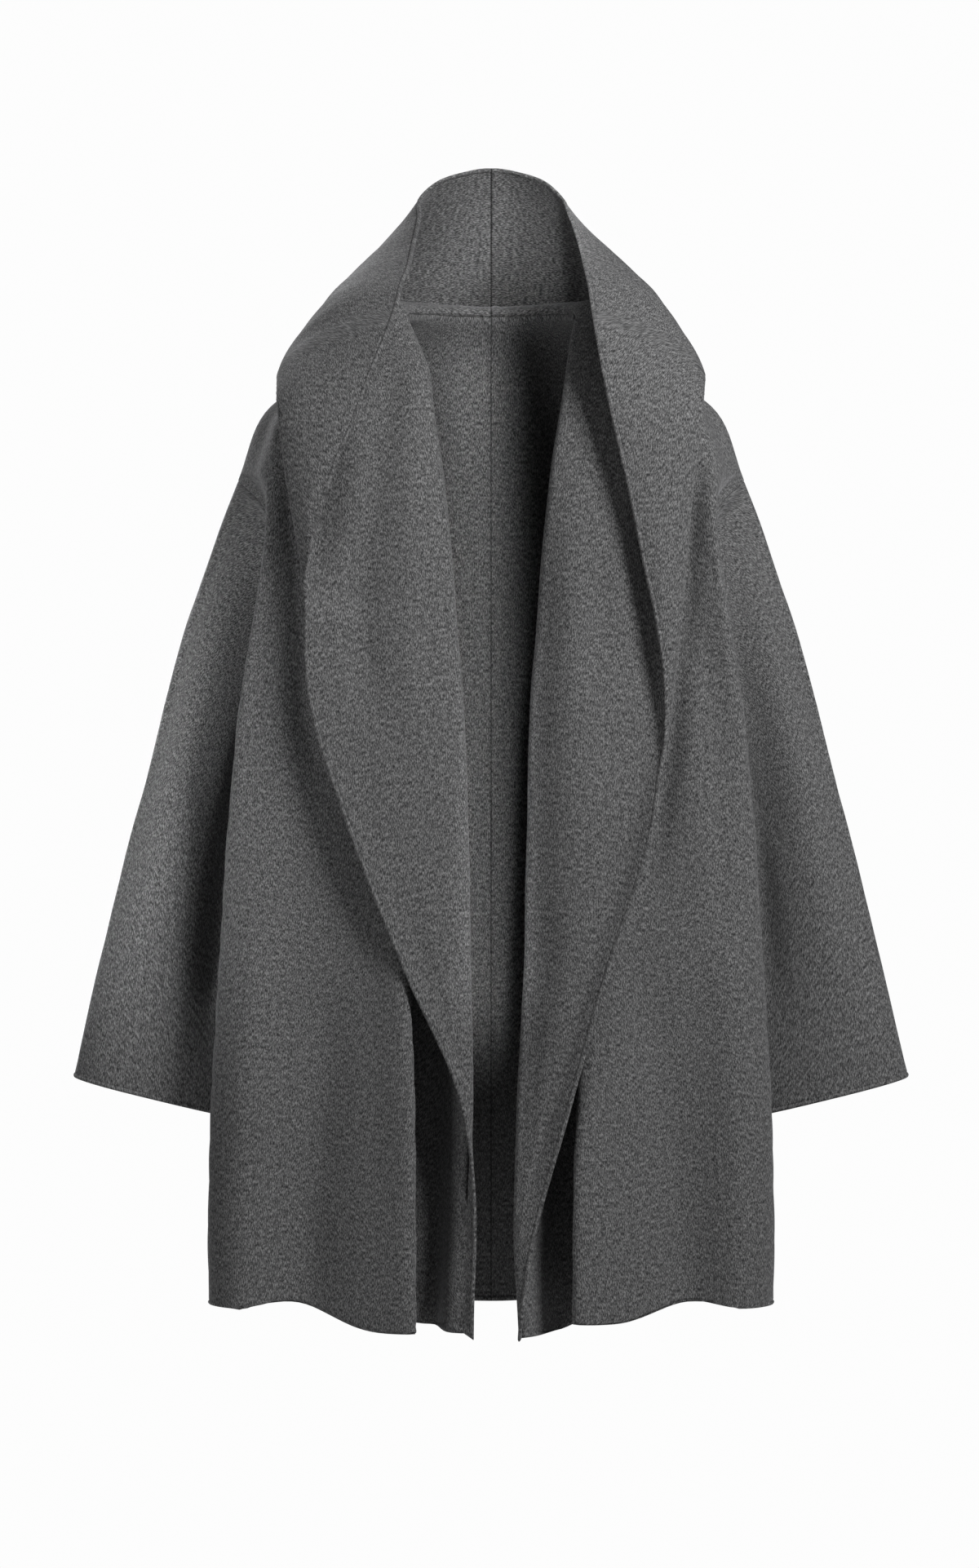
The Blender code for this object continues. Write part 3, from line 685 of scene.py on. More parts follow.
def front_lines(side):
    """The lines up a front that its rows run between; the first four end at the neck corner."""
    lapels = LAPELS[side]
    low_shares = body_shares()
    shares = low_shares + even(ROWS_PER_FAN_SECTION)
    seam, flange = panel_seam(ARMHOLE_FRONT, -1, low_shares)
    ridges = [point(ridge.out, -ridge.fwd, ridge.up) for ridge in SIDE_RIDGE]
    rolls = [point(lapel.roll_out, -lapel.roll_fwd, lapel.roll_up) for lapel in lapels]
    rolls += [point(hood.neck_out, hood.neck_back, hood.neck_up + SEAM_GAP) for hood in HOOD_FAN]
    folds = [point(lapel.fold_out, -lapel.fold_fwd, lapel.fold_up) for lapel in lapels]
    folds += [point(hood.fold_out, hood.fold_back, hood.fold_up) for hood in HOOD_FAN]
    edges = [point(lapel.edge_out, -lapel.edge_fwd, lapel.edge_up) for lapel in lapels]
    edge_outs = [getattr(hood, side + "_edge_out") for hood in HOOD_FAN]
    edges += [point(out, hood.edge_back, hood.edge_up) for out, hood in zip(edge_outs, HOOD_FAN)]
    turns = [lapel.turn for lapel in lapels] + [1.0] * len(HOOD_FAN)
    under_lifts = [LAPEL_LIFT] * len(lapels) + [HOOD_UNDER_LIFT] * len(HOOD_FAN)
    over_lifts = [LAPEL_LIFT] * len(lapels) + [hood.lift for hood in HOOD_FAN]
    return FrontLines(
        seam=seam,
        flange=flange,
        ridge=smooth_path(ridges, low_shares),
        hollow=smooth_values([ridge.hollow for ridge in SIDE_RIDGE], low_shares),
        roll=smooth_path(rolls, shares),
        fold=smooth_path(folds, shares),
        edge=smooth_path(edges, shares),
        lift_way=smooth_path(lift_directions(), shares),
        turn=smooth_values(turns, shares),
        under_lift=smooth_values(under_lifts, shares),
        over_lift=smooth_values(over_lifts, shares),
        section=smooth_values(list(range(len(shares) + 1)), shares))


def front_row_keys(lines, r, hanging_folds):
    """Key points across a row of a front: side seam to roll line (none on the hood), and those past it."""
    roll, fold, edge = lines.roll[r], lines.fold[r], lines.edge[r]
    behind, rise, crown = roll_bend(roll, edge, lines.turn[r])
    on_neck = ease(lines.section[r] - NECK_CORNER_SECTION)
    if on_neck > 0:
        neck_rise, neck_crown = neck_bend(roll, fold)
        rise = mix(rise, neck_rise, on_neck)
        crown = mix(crown, neck_crown, on_neck)
    lift_way = unit(lines.lift_way[r])
    turned = turned_keys(crown, fold, edge, lift_way, lines.under_lift[r], lines.over_lift[r])
    body_keys = []
    if r < len(lines.seam):
        seam, flange, ridge = lines.seam[r], lines.flange[r], lines.ridge[r]
        hollow = mix(flange, ridge, HOLLOW_SHARE) - point(lines.hollow[r], 0, 0)
        hem_share = 1 - ease(lines.section[r])
        hanging = front_fold_keys(hanging_folds, ridge, behind, hem_share)
        body_keys = [seam, flange, hollow, ridge] + hanging + [behind]
    return body_keys, [roll, rise, crown] + turned


def front_row(body_keys, lapel_keys):
    """Points across a row of a front, with their distances, their zones and the nap's places."""
    keys = body_keys + lapel_keys
    dense = smooth_path(keys, even([DENSE] * (len(keys) - 1)))
    split = len(body_keys) * DENSE
    lapel_part = dense[split:]
    lapel_length = run_lengths(lapel_part)[-1]
    lapel_places = spread(lapel_length, LAPEL_COLUMNS, [], FELL_STEPS)
    lapel_points = along_line(lapel_part, lapel_places)
    lapel_edge_run = lapel_length - lapel_places
    lapel_seam_run = np.full(LAPEL_COLUMNS, FAR)
    lapel_zone = np.full(LAPEL_COLUMNS, LAPEL)
    if not body_keys:
        return FrontRow(lapel_points, lapel_edge_run, lapel_seam_run, lapel_zone, lapel_places, None)
    body_part = dense[:split + 1]
    body_length = run_lengths(body_part)[-1]
    body_places = spread(body_length, BODY_COLUMNS + 1, SEAM_STEPS, [])[:-1]
    ridge_place = run_lengths(dense[:RIDGE_KEY * DENSE + 1])[-1]
    return FrontRow(
        points=np.concatenate([along_line(body_part, body_places), lapel_points]),
        edge_run=np.concatenate([np.full(BODY_COLUMNS, FAR), lapel_edge_run]),
        seam_run=np.concatenate([body_places, lapel_seam_run]),
        zone=np.concatenate([np.full(BODY_COLUMNS, BODY), lapel_zone]),
        lapel_across=lapel_places,
        body_across=np.append(body_places, body_length) - ridge_place - NAP_RIDGE_RUN)


def mark_hood_centre(cloth, side):
    """Counts the hood's centre seam among the seams, with the felled band beside it on one side."""
    centre_run = np.abs(cloth.points[:, 0] - SEAM_GAP / 2)
    on_hood = (cloth.points[:, 1] > 0) & (cloth.zone == LAPEL)
    cloth.seam_run = np.where(on_hood, np.minimum(cloth.seam_run, centre_run), cloth.seam_run)
    if side == FELLED_HOOD_SIDE:
        band_run = np.maximum(FELL_WIDTH + centre_run - HOOD_BAND, FELL_WIDTH / 2)
        cloth.edge_run = np.where(on_hood, np.minimum(cloth.edge_run, band_run), cloth.edge_run)


def front_cloth(side):
    """The middle surface of one front with its lapel and hood half, hem to hood centre."""
    lines = front_lines(side)
    cloth = Cloth()
    last_row = len(lines.roll) - 1
    for r in range(last_row + 1):
        row = front_row(*front_row_keys(lines, r, FRONT_FOLDS[side]))
        points, edge_run = row.points, row.edge_run
        if r < len(FELL_STEPS):
            edge_run = np.minimum(edge_run, FELL_STEPS[r])
        if r == last_row:
            points[:, 0] = SEAM_GAP / 2
        ids = cloth.add_points(points, edge_run, row.seam_run, row.zone)
        count = len(points)
        down = np.zeros(count)
        if r > 0:
            down = low_down[-count:] + np.linalg.norm(points - low_points[-count:], axis=1)
        strips = [(ids[-LAPEL_COLUMNS:], np.stack([row.lapel_across, down[-LAPEL_COLUMNS:]], axis=1))]
        if row.body_across is not None:
            body_down = down[:BODY_COLUMNS + 1]
            strips.append((ids[:BODY_COLUMNS + 1], np.stack([row.body_across, body_down], axis=1)))
        if r > 0:
            for (low_ids, low_lie), (high_ids, high_lie) in zip(low_strips, strips):
                cloth.add_strip(low_ids, high_ids, low_lie, high_lie)
        low_strips, low_points, low_down = strips, points, down
    mark_hood_centre(cloth, side)
    return cloth


def grid_cloth(rows, edge_runs, seam_runs, closed=False):
    """A middle surface from plain rows of equal length, closed round for a tube."""
    cloth = Cloth()
    for r, (row, edge_run, seam_run) in enumerate(zip(rows, edge_runs, seam_runs)):
        ids = cloth.add_points(row, edge_run, seam_run, np.full(len(row), BODY))
        if closed:
            row = np.concatenate([row, row[:1]])
            ids = np.concatenate([ids, ids[:1]])
        across = run_lengths(row)
        down = np.zeros(len(row))
        if r > 0:
            down = low_down + np.linalg.norm(row - low_row, axis=1)
        lie = np.stack([across - across[-1], down], axis=1)
        if r > 0:
            cloth.add_strip(low_ids, ids, low_lie, lie)
        low_ids, low_row, low_down, low_lie = ids, row, down, lie
    return cloth


def back_cloth():
    """The middle surface of one back panel, hem to neck, from the side to the centre seam."""
    shares = body_shares()
    edge, flange = panel_seam(ARMHOLE_BACK, 1, shares)
    first_rows = np.concatenate([[0], np.cumsum([len(share) for share in shares])])
    keys = []
    for first_row, back in zip(first_rows, BACK_SECTIONS):
        side_up = edge[first_row][2]
        side = point(back.side_out, back.side_back, mix(side_up, back.centre_up, BACK_SIDE_LEVEL))
        mid = point(back.mid_out, back.mid_back, mix(side_up, back.centre_up, BACK_MID_LEVEL))
        centre_flange = point(SEAM_FLANGE, back.centre_back, back.centre_up)
        centre = point(SEAM_GAP / 2, back.centre_back, back.centre_up)
        keys.append([side, mid, centre_flange, centre])
    lines = [edge, flange] + [smooth_path([row[c] for row in keys], shares) for c in range(4)]
    neck_keys = [point(hood.neck_out, hood.neck_back, hood.neck_up) for hood in HOOD_FAN]
    neck_keys[-1][0] = SEAM_GAP / 2
    neck_dense = smooth_path(neck_keys, even([DENSE] * (len(neck_keys) - 1)))
    neck_index = np.arange(len(neck_dense)) / DENSE
    column_index = np.concatenate([[0], np.cumsum(BACK_COLUMNS)])
    rows, edge_runs, seam_runs = [], [], []
    for r in range(len(edge)):
        dense = smooth_path([line[r] for line in lines], even([DENSE] * (len(lines) - 1)))
        runs = run_lengths(dense)
        places = spread(runs[-1], BACK_PANEL_COLUMNS, SEAM_STEPS, SEAM_STEPS)
        rows.append(along_line(dense, places))
        hem_run = FELL_STEPS[r] if r < len(FELL_STEPS) else FAR
        edge_runs.append(np.full(BACK_PANEL_COLUMNS, hem_run))
        seam_runs.append(np.minimum(places, runs[-1] - places))
    dense_index = np.interp(np.arange(len(dense)) / DENSE, np.arange(len(lines)), column_index)
    index = np.interp(places, runs, dense_index)
    neck = np.stack([np.interp(index, neck_index, neck_dense[:, k]) for k in range(3)], axis=1)
    last = rows[-1]
    low = neck - point(0, 0, NECK_STAND)
    for share in NECK_BLEND_SHARES:
        rows.append(mix(last, low, share))
    for step in SEAM_STEPS[:-1][::-1]:
        rows.append(mix(neck, low, step / SEAM_STEPS[-1]))
    for row in rows[len(edge_runs):]:
        edge_runs.append(np.full(BACK_PANEL_COLUMNS, FAR))
        seam_runs.append(np.minimum(np.linalg.norm(row - neck, axis=1), seam_runs[len(edge) - 1]))
    return grid_cloth(rows, edge_runs, seam_runs)


def sleeve_cloth():
    """The middle surface of one sleeve, rings from armhole to cuff."""
    shares = even([ARMHOLE_STEPS] * (len(ARMHOLE_FRONT) - 1))
    front, front_ways = armhole_line(ARMHOLE_FRONT, shares)
    back, back_ways = armhole_line(ARMHOLE_BACK, shares)
    hole = np.concatenate([front[::-1], back[1:-1]])
    across = np.concatenate([front_ways[::-1], back_ways[1:-1]])
    order = ARMHOLE_FRONT[::-1] + ARMHOLE_BACK[1:]
    pulls = smooth_path([point(ARMHOLE[name].reach, 0, 0) for name in order], shares + shares)[:-1, 0]
    angles = 2 * np.pi * np.arange(len(hole)) / len(hole)
    low = (1 - np.cos(angles)) / 2
    gaps = mix(SEAM_GAP / 2, UNDERARM_GAP, low ** 4)
    width_way = unit(point(1, 0, CUFF_SLOPE))
    down_way = unit(point(CUFF_SLOPE, 0, -1))
    cuff = point(*CUFF_CENTRE) + np.outer(np.cos(angles) * CUFF_HALF_WIDTH, width_way)
    cuff[:, 1] -= CUFF_HALF_DEPTH * np.sin(angles)
    start = hole + across * SEAM_FLANGE
    chords = np.linalg.norm(cuff - hole, axis=1, keepdims=True)
    arrive = down_way * CUFF_PULL * chords
    leave = across * pulls[:, None]
    lines = np.stack([hermite(start, cuff, leave, arrive, np.full(len(hole), share))
                      for share in np.linspace(0, 1, SLEEVE_SAMPLES)])
    rows = []
    seam_places = [step for step in SEAM_STEPS if step < SEAM_FLANGE]
    for step in seam_places:
        rows.append(hole + across * mix(gaps, SEAM_FLANGE, step / SEAM_FLANGE)[:, None])
    columns = []
    for c in range(len(hole)):
        line = lines[:, c]
        length = run_lengths(line)[-1]
        columns.append(along_line(line, spread(length, SLEEVE_ROWS, [], FELL_STEPS)))
    rows += list(np.stack(columns, axis=1))
    count = len(hole)
    edge_runs = [np.full(count, FAR)] * (len(rows) - len(FELL_STEPS))
    edge_runs += [np.full(count, step) for step in FELL_STEPS[::-1]]
    seam_runs = [np.full(count, step) for step in seam_places]
    seam_runs += [np.full(count, FAR)] * (len(rows) - len(seam_places))
    return grid_cloth(rows, edge_runs, seam_runs, closed=True)


def crease_depth(cloth, creases, in_front):
    """How far all the creases together stand out at each point, fading at their ends."""
    depth = np.zeros(len(cloth.points))
    flat = cloth.points[:, [0, 2]]
    for crease in creases:
        line = np.array(crease.path, dtype=float)
        runs = run_lengths(np.column_stack([line, np.zeros(len(line))]))
        best = np.full(len(flat), np.inf)
        best_run = np.zeros(len(flat))
        for i in range(len(line) - 1):
            way = line[i + 1] - line[i]
            share = np.clip(((flat - line[i]) @ way) / (way @ way), 0, 1)
            gap = np.linalg.norm(flat - (line[i] + share[:, None] * way), axis=1)
            closer = gap < best
            best = np.where(closer, gap, best)
            best_run = np.where(closer, runs[i] + share * (runs[i + 1] - runs[i]), best_run)
        along = best_run / runs[-1]
        fade = ease(along / CREASE_END_SHARE) * ease((1 - along) / CREASE_END_SHARE)
        here = (cloth.zone == crease.zone) * in_front
        depth += here * crease.depth * fade * np.exp(-(best / crease.width) ** 2)
    return depth


def unevenness(points, scale, seed):
    """Soft random swells of the cloth, the same at each run."""
    return np.array([noise.noise(Vector((p[0] / scale + seed, p[1] / scale, p[2] / scale)))
                     for p in points])


def half_thickness(cloth, sizes):
    """Half the cloth's thickness at each point: rounded at edges, with a felled band and its groove."""
    wall = sizes.wall / MM / 2
    nose = np.clip(cloth.edge_run * MM / sizes.edge_round, 0, 1)
    rounded = np.sqrt(np.clip(1 - (1 - nose) ** 2, 0, 1))
    rounded *= mix(sizes.seam_dip, 1.0, ease(cloth.seam_run * MM / sizes.edge_round))
    fell = sizes.fell_width / MM
    puff = np.exp(-((cloth.edge_run - FELL_PUFF_MIDDLE * fell) / (FELL_PUFF_SPREAD * fell)) ** 2)
    groove = np.exp(-((cloth.edge_run - fell) / (FELL_GROOVE_SPREAD * fell)) ** 2)
    return wall * np.maximum(THINNEST_SHARE, rounded) * (1 + FELL_PUFF * puff - FELL_GROOVE * groove)


def cloth_object(name, cloth, sign, sizes, material):
    """A closed cloth shell round the middle surface, with its lie of the nap as a UV map."""
    half = half_thickness(cloth, sizes)[:, None]
    ways = cloth.normals()
    outer, inner = cloth.points + ways * half, cloth.points - ways * half
    verts = np.concatenate([outer, inner]) * MM
    verts[:, 0] *= sign
    count = len(cloth.points)
    faces, lies = [], []
    edge_use = {}
    for face, lie in zip(cloth.faces, cloth.lie):
        faces.append(face)
        lies.append(lie)
        faces.append(tuple(v + count for v in face[::-1]))
        lies.append(lie[::-1])
        for k in range(4):
            a, b = face[k], face[(k + 1) % 4]
            key = (min(a, b), max(a, b))
            edge_use.setdefault(key, []).append((a, b, lie[k], lie[(k + 1) % 4]))
    for uses in edge_use.values():
        if len(uses) == 1:
            a, b, lie_a, lie_b = uses[0]
            faces.append((b, a, a + count, b + count))
            lies.append((lie_b, lie_a, lie_a, lie_b))
    if sign > 0:
        faces = [face[::-1] for face in faces]
        lies = [lie[::-1] for lie in lies]
    mesh = bpy.data.meshes.new(name)
    mesh.from_pydata(verts.tolist(), [], [tuple(int(v) for v in face) for face in faces])
    layer = mesh.uv_layers.new(name="nap")
    flat = np.array(lies, dtype=float).reshape(-1, 2) * MM + NAP_SHIFT[name]
    layer.data.foreach_set("uv", flat.ravel())
    # Distances from seam and finished edge, kept in their own UV map for the painted shade of seams and
    # fell grooves
    runs = np.minimum(np.stack([cloth.seam_run, cloth.edge_run], axis=1), PAINTED_SHADE_REACH) * MM
    corners = np.concatenate(faces)
    finish = mesh.uv_layers.new(name="finish")
    finish.data.foreach_set("uv", runs[corners % count].ravel())
    mesh.validate()
    mesh.materials.append(material)
    mesh.shade_smooth()
    piece = bpy.data.objects.new(name, mesh)
    bpy.context.scene.collection.objects.link(piece)
    return piece


def dress(piece, node):
    """Attaches a piece to its body and hides the panel it stands for."""
    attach(piece, "root")
    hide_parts(node)


def new_node(tree, kind, **values):
    """A shader node with its settings and plain input values."""
    node = tree.nodes.new(kind)
    for key, value in values.items():
        if hasattr(node, key) and key not in node.inputs:
            setattr(node, key, value)
        else:
            node.inputs[key].default_value = value
    return node


def nap_group():
    """Node group of the brushed nap: mottled tone and height from hairs lying along the piece."""
    group = bpy.data.node_groups.new("brushed_nap", "ShaderNodeTree")
    for label, default in (("Hair Width", 0.001), ("Hair Length", 0.005), ("Mottle Size", 0.006)):
        socket = group.interface.new_socket(name=label, in_out="INPUT", socket_type="NodeSocketFloat")
        socket.default_value = default
    for label in ("Tone", "Height"):
        group.interface.new_socket(name=label, in_out="OUTPUT", socket_type="NodeSocketFloat")
    links = group.links
    inputs = group.nodes.new("NodeGroupInput")
    outputs = group.nodes.new("NodeGroupOutput")
    lie = new_node(group, "ShaderNodeUVMap", uv_map="nap")
    wander = new_node(group, "ShaderNodeTexNoise", noise_dimensions="2D", Scale=WANDER_SCALE, Detail=2.0)
    links.new(lie.outputs["UV"], wander.inputs["Vector"])
    centred = new_node(group, "ShaderNodeVectorMath", operation="SUBTRACT")
    centred.inputs[1].default_value = (0.5, 0.5, 0.5)
    links.new(wander.outputs["Color"], centred.inputs[0])
    sway = new_node(group, "ShaderNodeVectorMath", operation="MULTIPLY")
    sway.inputs[1].default_value = HAIR_SWAY
    links.new(centred.outputs["Vector"], sway.inputs[0])
    swayed = new_node(group, "ShaderNodeVectorMath", operation="ADD")
    links.new(lie.outputs["UV"], swayed.inputs[0])
    links.new(sway.outputs["Vector"], swayed.inputs[1])
    size = group.nodes.new("ShaderNodeCombineXYZ")
    links.new(inputs.outputs["Hair Width"], size.inputs["X"])
    links.new(inputs.outputs["Hair Length"], size.inputs["Y"])
    size.inputs["Z"].default_value = 1.0
    hairs_at = new_node(group, "ShaderNodeVectorMath", operation="DIVIDE")
    links.new(swayed.outputs["Vector"], hairs_at.inputs[0])
    links.new(size.outputs["Vector"], hairs_at.inputs[1])
    hairs = new_node(
        group, "ShaderNodeTexNoise", noise_dimensions="2D", Scale=1.0, Detail=3.0, Roughness=0.6)
    links.new(hairs_at.outputs["Vector"], hairs.inputs["Vector"])
    mottle_at = new_node(group, "ShaderNodeVectorMath", operation="DIVIDE")
    links.new(swayed.outputs["Vector"], mottle_at.inputs[0])
    links.new(inputs.outputs["Mottle Size"], mottle_at.inputs[1])
    mottle = new_node(
        group, "ShaderNodeTexNoise", noise_dimensions="2D", Scale=1.0, Detail=3.0, Roughness=0.55)
    links.new(mottle_at.outputs["Vector"], mottle.inputs["Vector"])
    tone = new_node(group, "ShaderNodeMix", data_type="FLOAT")
    tone.inputs["Factor"].default_value = MOTTLE_SHARE
    links.new(hairs.outputs["Fac"], tone.inputs["A"])
    links.new(mottle.outputs["Fac"], tone.inputs["B"])
    links.new(tone.outputs["Result"], outputs.inputs["Tone"])
    links.new(hairs.outputs["Fac"], outputs.inputs["Height"])
    return group


def shade_group():
    """Node group of painted shade: darkens the wool along its seams, a dark seam line deepened by painted
    shade, and in the groove of its felled edges.
    """
    group = bpy.data.node_groups.new("seam_shade", "ShaderNodeTree")
    for label, default in (("Seam Width", 0.001), ("Fell Width", 0.007)):
        socket = group.interface.new_socket(name=label, in_out="INPUT", socket_type="NodeSocketFloat")
        socket.default_value = default
    group.interface.new_socket(name="Shade", in_out="OUTPUT", socket_type="NodeSocketFloat")
    links = group.links
    inputs = group.nodes.new("NodeGroupInput")
    outputs = group.nodes.new("NodeGroupOutput")
    runs = group.nodes.new("ShaderNodeSeparateXYZ")
    links.new(new_node(group, "ShaderNodeUVMap", uv_map="finish").outputs["UV"], runs.inputs["Vector"])
    seam = new_node(group, "ShaderNodeMapRange", interpolation_type="SMOOTHSTEP")
    seam.inputs["To Min"].default_value = SEAM_DARKEST
    seam.inputs["To Max"].default_value = 1.0
    links.new(runs.outputs["X"], seam.inputs["Value"])
    links.new(inputs.outputs["Seam Width"], seam.inputs["From Max"])
    off_fell = new_node(group, "ShaderNodeMath", operation="SUBTRACT")
    links.new(runs.outputs["Y"], off_fell.inputs[0])
    links.new(inputs.outputs["Fell Width"], off_fell.inputs[1])
    fell_gap = new_node(group, "ShaderNodeMath", operation="ABSOLUTE")
    links.new(off_fell.outputs["Value"], fell_gap.inputs[0])
    fell = new_node(group, "ShaderNodeMapRange", interpolation_type="SMOOTHSTEP")
    fell.inputs["From Max"].default_value = FELL_LINE_REACH
    fell.inputs["To Min"].default_value = FELL_DARKEST
    fell.inputs["To Max"].default_value = 1.0
    links.new(fell_gap.outputs["Value"], fell.inputs["Value"])
    shade = new_node(group, "ShaderNodeMath", operation="MULTIPLY")
    links.new(seam.outputs["Result"], shade.inputs[0])
    links.new(fell.outputs["Result"], shade.inputs[1])
    links.new(shade.outputs["Value"], outputs.inputs["Shade"])
    return group


def wool_material(name, look, nap_tree, shade_tree):
    """Brushed wool: greys mixed hair by hair, a soft sheen and a fine nap in relief."""
    material = bpy.data.materials.new(name)
    material.use_nodes = True
    tree = material.node_tree
    shader = tree.nodes["Principled BSDF"]
    nap = tree.nodes.new("ShaderNodeGroup")
    nap.node_tree = nap_tree
    nap.inputs["Hair Width"].default_value = look.hair_width
    nap.inputs["Hair Length"].default_value = look.hair_length
    nap.inputs["Mottle Size"].default_value = look.mottle_size
    ramp = tree.nodes.new("ShaderNodeValToRGB")
    stops = ramp.color_ramp.elements
    stops[0].position, stops[0].color = DARK_STOP, (*look.dark, 1.0)
    stops[1].position, stops[1].color = LIGHT_STOP, (*look.light, 1.0)
    middle = stops.new(MIDDLE_STOP)
    middle.color = (*look.middle, 1.0)
    tree.links.new(nap.outputs["Tone"], ramp.inputs["Fac"])
    # Painted shade along the seams and in the felled edges' grooves, multiplied into the colour
    shade = tree.nodes.new("ShaderNodeGroup")
    shade.node_tree = shade_tree
    shade.inputs["Seam Width"].default_value = look.seam_line
    shade.inputs["Fell Width"].default_value = look.fell_line
    darker = new_node(tree, "ShaderNodeMix", data_type="RGBA", blend_type="MULTIPLY")
    darker.inputs["Factor"].default_value = 1.0
    tree.links.new(ramp.outputs["Color"], darker.inputs["A"])
    tree.links.new(shade.outputs["Shade"], darker.inputs["B"])
    tree.links.new(darker.outputs["Result"], shader.inputs["Base Color"])
    bump = new_node(tree, "ShaderNodeBump", Strength=look.relief, Distance=NAP_HEIGHT)
    tree.links.new(nap.outputs["Height"], bump.inputs["Height"])
    tree.links.new(bump.outputs["Normal"], shader.inputs["Normal"])
    shader.inputs["Roughness"].default_value = WOOL_ROUGHNESS
    shader.inputs["Specular IOR Level"].default_value = WOOL_SPECULAR
    shader.inputs["Sheen Weight"].default_value = look.sheen
    shader.inputs["Sheen Roughness"].default_value = SHEEN_ROUGHNESS
    shader.inputs["Sheen Tint"].default_value = SHEEN_TINT
    return material


def wool(scene):
    """The one wool material of all the pieces, made at its first use."""
    material = bpy.data.materials.get("charcoal_wool")
    return material or wool_material("charcoal_wool", scene.coat_look, nap_group(), shade_group())


def finish_cloth(cloth, sizes, creases, out_way=None):
    """Lays on creases, along out_way or else the way the cloth faces, and the soft unevenness."""
    ways = cloth.normals()
    if out_way is None:
        in_front = ease(-ways[:, 1] * FACING_GAIN - FACING_START)
        out_way = ways
    else:
        in_front = ease((CREASE_BACK_LIMIT - cloth.points[:, 1] * -out_way[1]) / CREASE_BACK_FADE)
    depth = crease_depth(cloth, creases, in_front) * ease(cloth.seam_run / SEAM_HOLD)
    cloth.points = cloth.points + depth[:, None] * out_way
    height = sum(swell.share * unevenness(cloth.points, swell.size, swell.seed) for swell in SWELLS)
    cloth.points = cloth.points + ways * (sizes.swell / MM * height)[:, None]


def make_piece(scene, node, sign, cloth, creases, crease_way=None):
    """Creases one cloth, makes it a piece of wool and hides the panel it stands for."""
    finish_cloth(cloth, scene.coat_sizes, creases, crease_way)
    piece = cloth_object(node + "_wool", cloth, sign, scene.coat_sizes, wool(scene))
    dress(piece, node)


def add_light(name, lamp, power):
    """One of the studio's lamps, turned to its target and not itself seen."""
    light = bpy.data.lights.new(name, "AREA")
    light.shape = "RECTANGLE"
    light.size = lamp.width
    light.size_y = lamp.height
    light.spread = math.radians(lamp.spread)
    light.energy = power
    holder = bpy.data.objects.new(name, light)
    holder.location = lamp.place
    aim = Vector(lamp.target) - Vector(lamp.place)
    holder.rotation_euler = aim.to_track_quat("-Z", "Y").to_euler()
    holder.visible_camera = False
    bpy.context.scene.collection.objects.link(holder)


def add_camera(scene, stage):
    """The camera in front of the coat, looking straight at it."""
    camera = bpy.data.cameras.new("photo_camera")
    camera.lens = stage.lens
    camera.sensor_width = SENSOR_WIDTH
    holder = bpy.data.objects.new("photo_camera", camera)
    holder.location = (CAMERA_SIDEWAYS, -stage.camera_distance, stage.camera_height)
    holder.rotation_euler = (math.pi / 2, 0, 0)
    scene.collection.objects.link(holder)
    scene.camera = holder


def floor_material():
    """Pale floor, seen as white as the studio behind it."""
    material = bpy.data.materials.new("pale_floor")
    material.use_nodes = True
    tree = material.node_tree
    tree.nodes.clear()
    output = tree.nodes.new("ShaderNodeOutputMaterial")
    path = tree.nodes.new("ShaderNodeLightPath")
    glow = new_node(tree, "ShaderNodeEmission", Color=STUDIO_WHITE, Strength=1.0)
    matt = new_node(tree, "ShaderNodeBsdfDiffuse", Color=FLOOR_GREY)
    choose = tree.nodes.new("ShaderNodeMixShader")
    tree.links.new(path.outputs["Is Camera Ray"], choose.inputs["Fac"])
    tree.links.new(matt.outputs["BSDF"], choose.inputs[1])
    tree.links.new(glow.outputs["Emission"], choose.inputs[2])
    tree.links.new(choose.outputs["Shader"], output.inputs["Surface"])
    return material


def paint_world(tree, fill):
    """White all round to look at, with a softer light from it on the coat."""
    tree.nodes.clear()
    output = tree.nodes.new("ShaderNodeOutputWorld")
    path = tree.nodes.new("ShaderNodeLightPath")
    seen = new_node(tree, "ShaderNodeBackground", Color=STUDIO_WHITE, Strength=1.0)
    lit = new_node(tree, "ShaderNodeBackground", Color=(1.0, 1.0, 1.0, 1.0), Strength=fill)
    choose = tree.nodes.new("ShaderNodeMixShader")
    tree.links.new(path.outputs["Is Camera Ray"], choose.inputs["Fac"])
    tree.links.new(lit.outputs["Background"], choose.inputs[1])
    tree.links.new(seen.outputs["Background"], choose.inputs[2])
    tree.links.new(choose.outputs["Shader"], output.inputs["Surface"])


class CoatSizes(bpy.types.PropertyGroup):
    """Sizes of the cloth and its finished edges."""
    wall: bpy.props.FloatProperty(
        name="Cloth thickness", description="Thickness of the wool", default=0.0022, unit="LENGTH")
    edge_round: bpy.props.FloatProperty(
        name="Edge rounding", description="How far in a finished edge is rounded",
        default=0.0013, unit="LENGTH")
    fell_width: bpy.props.FloatProperty(
        name="Felled edge", description="Width of the felled band along the free edges",
        default=FELL_WIDTH * MM, unit="LENGTH")
    seam_dip: bpy.props.FloatProperty(
        name="Seam dip", description="Share of the thickness left right at a seam", default=0.55)
    swell: bpy.props.FloatProperty(
        name="Unevenness", description="Height of the cloth's soft random swells",
        default=0.0007, unit="LENGTH")


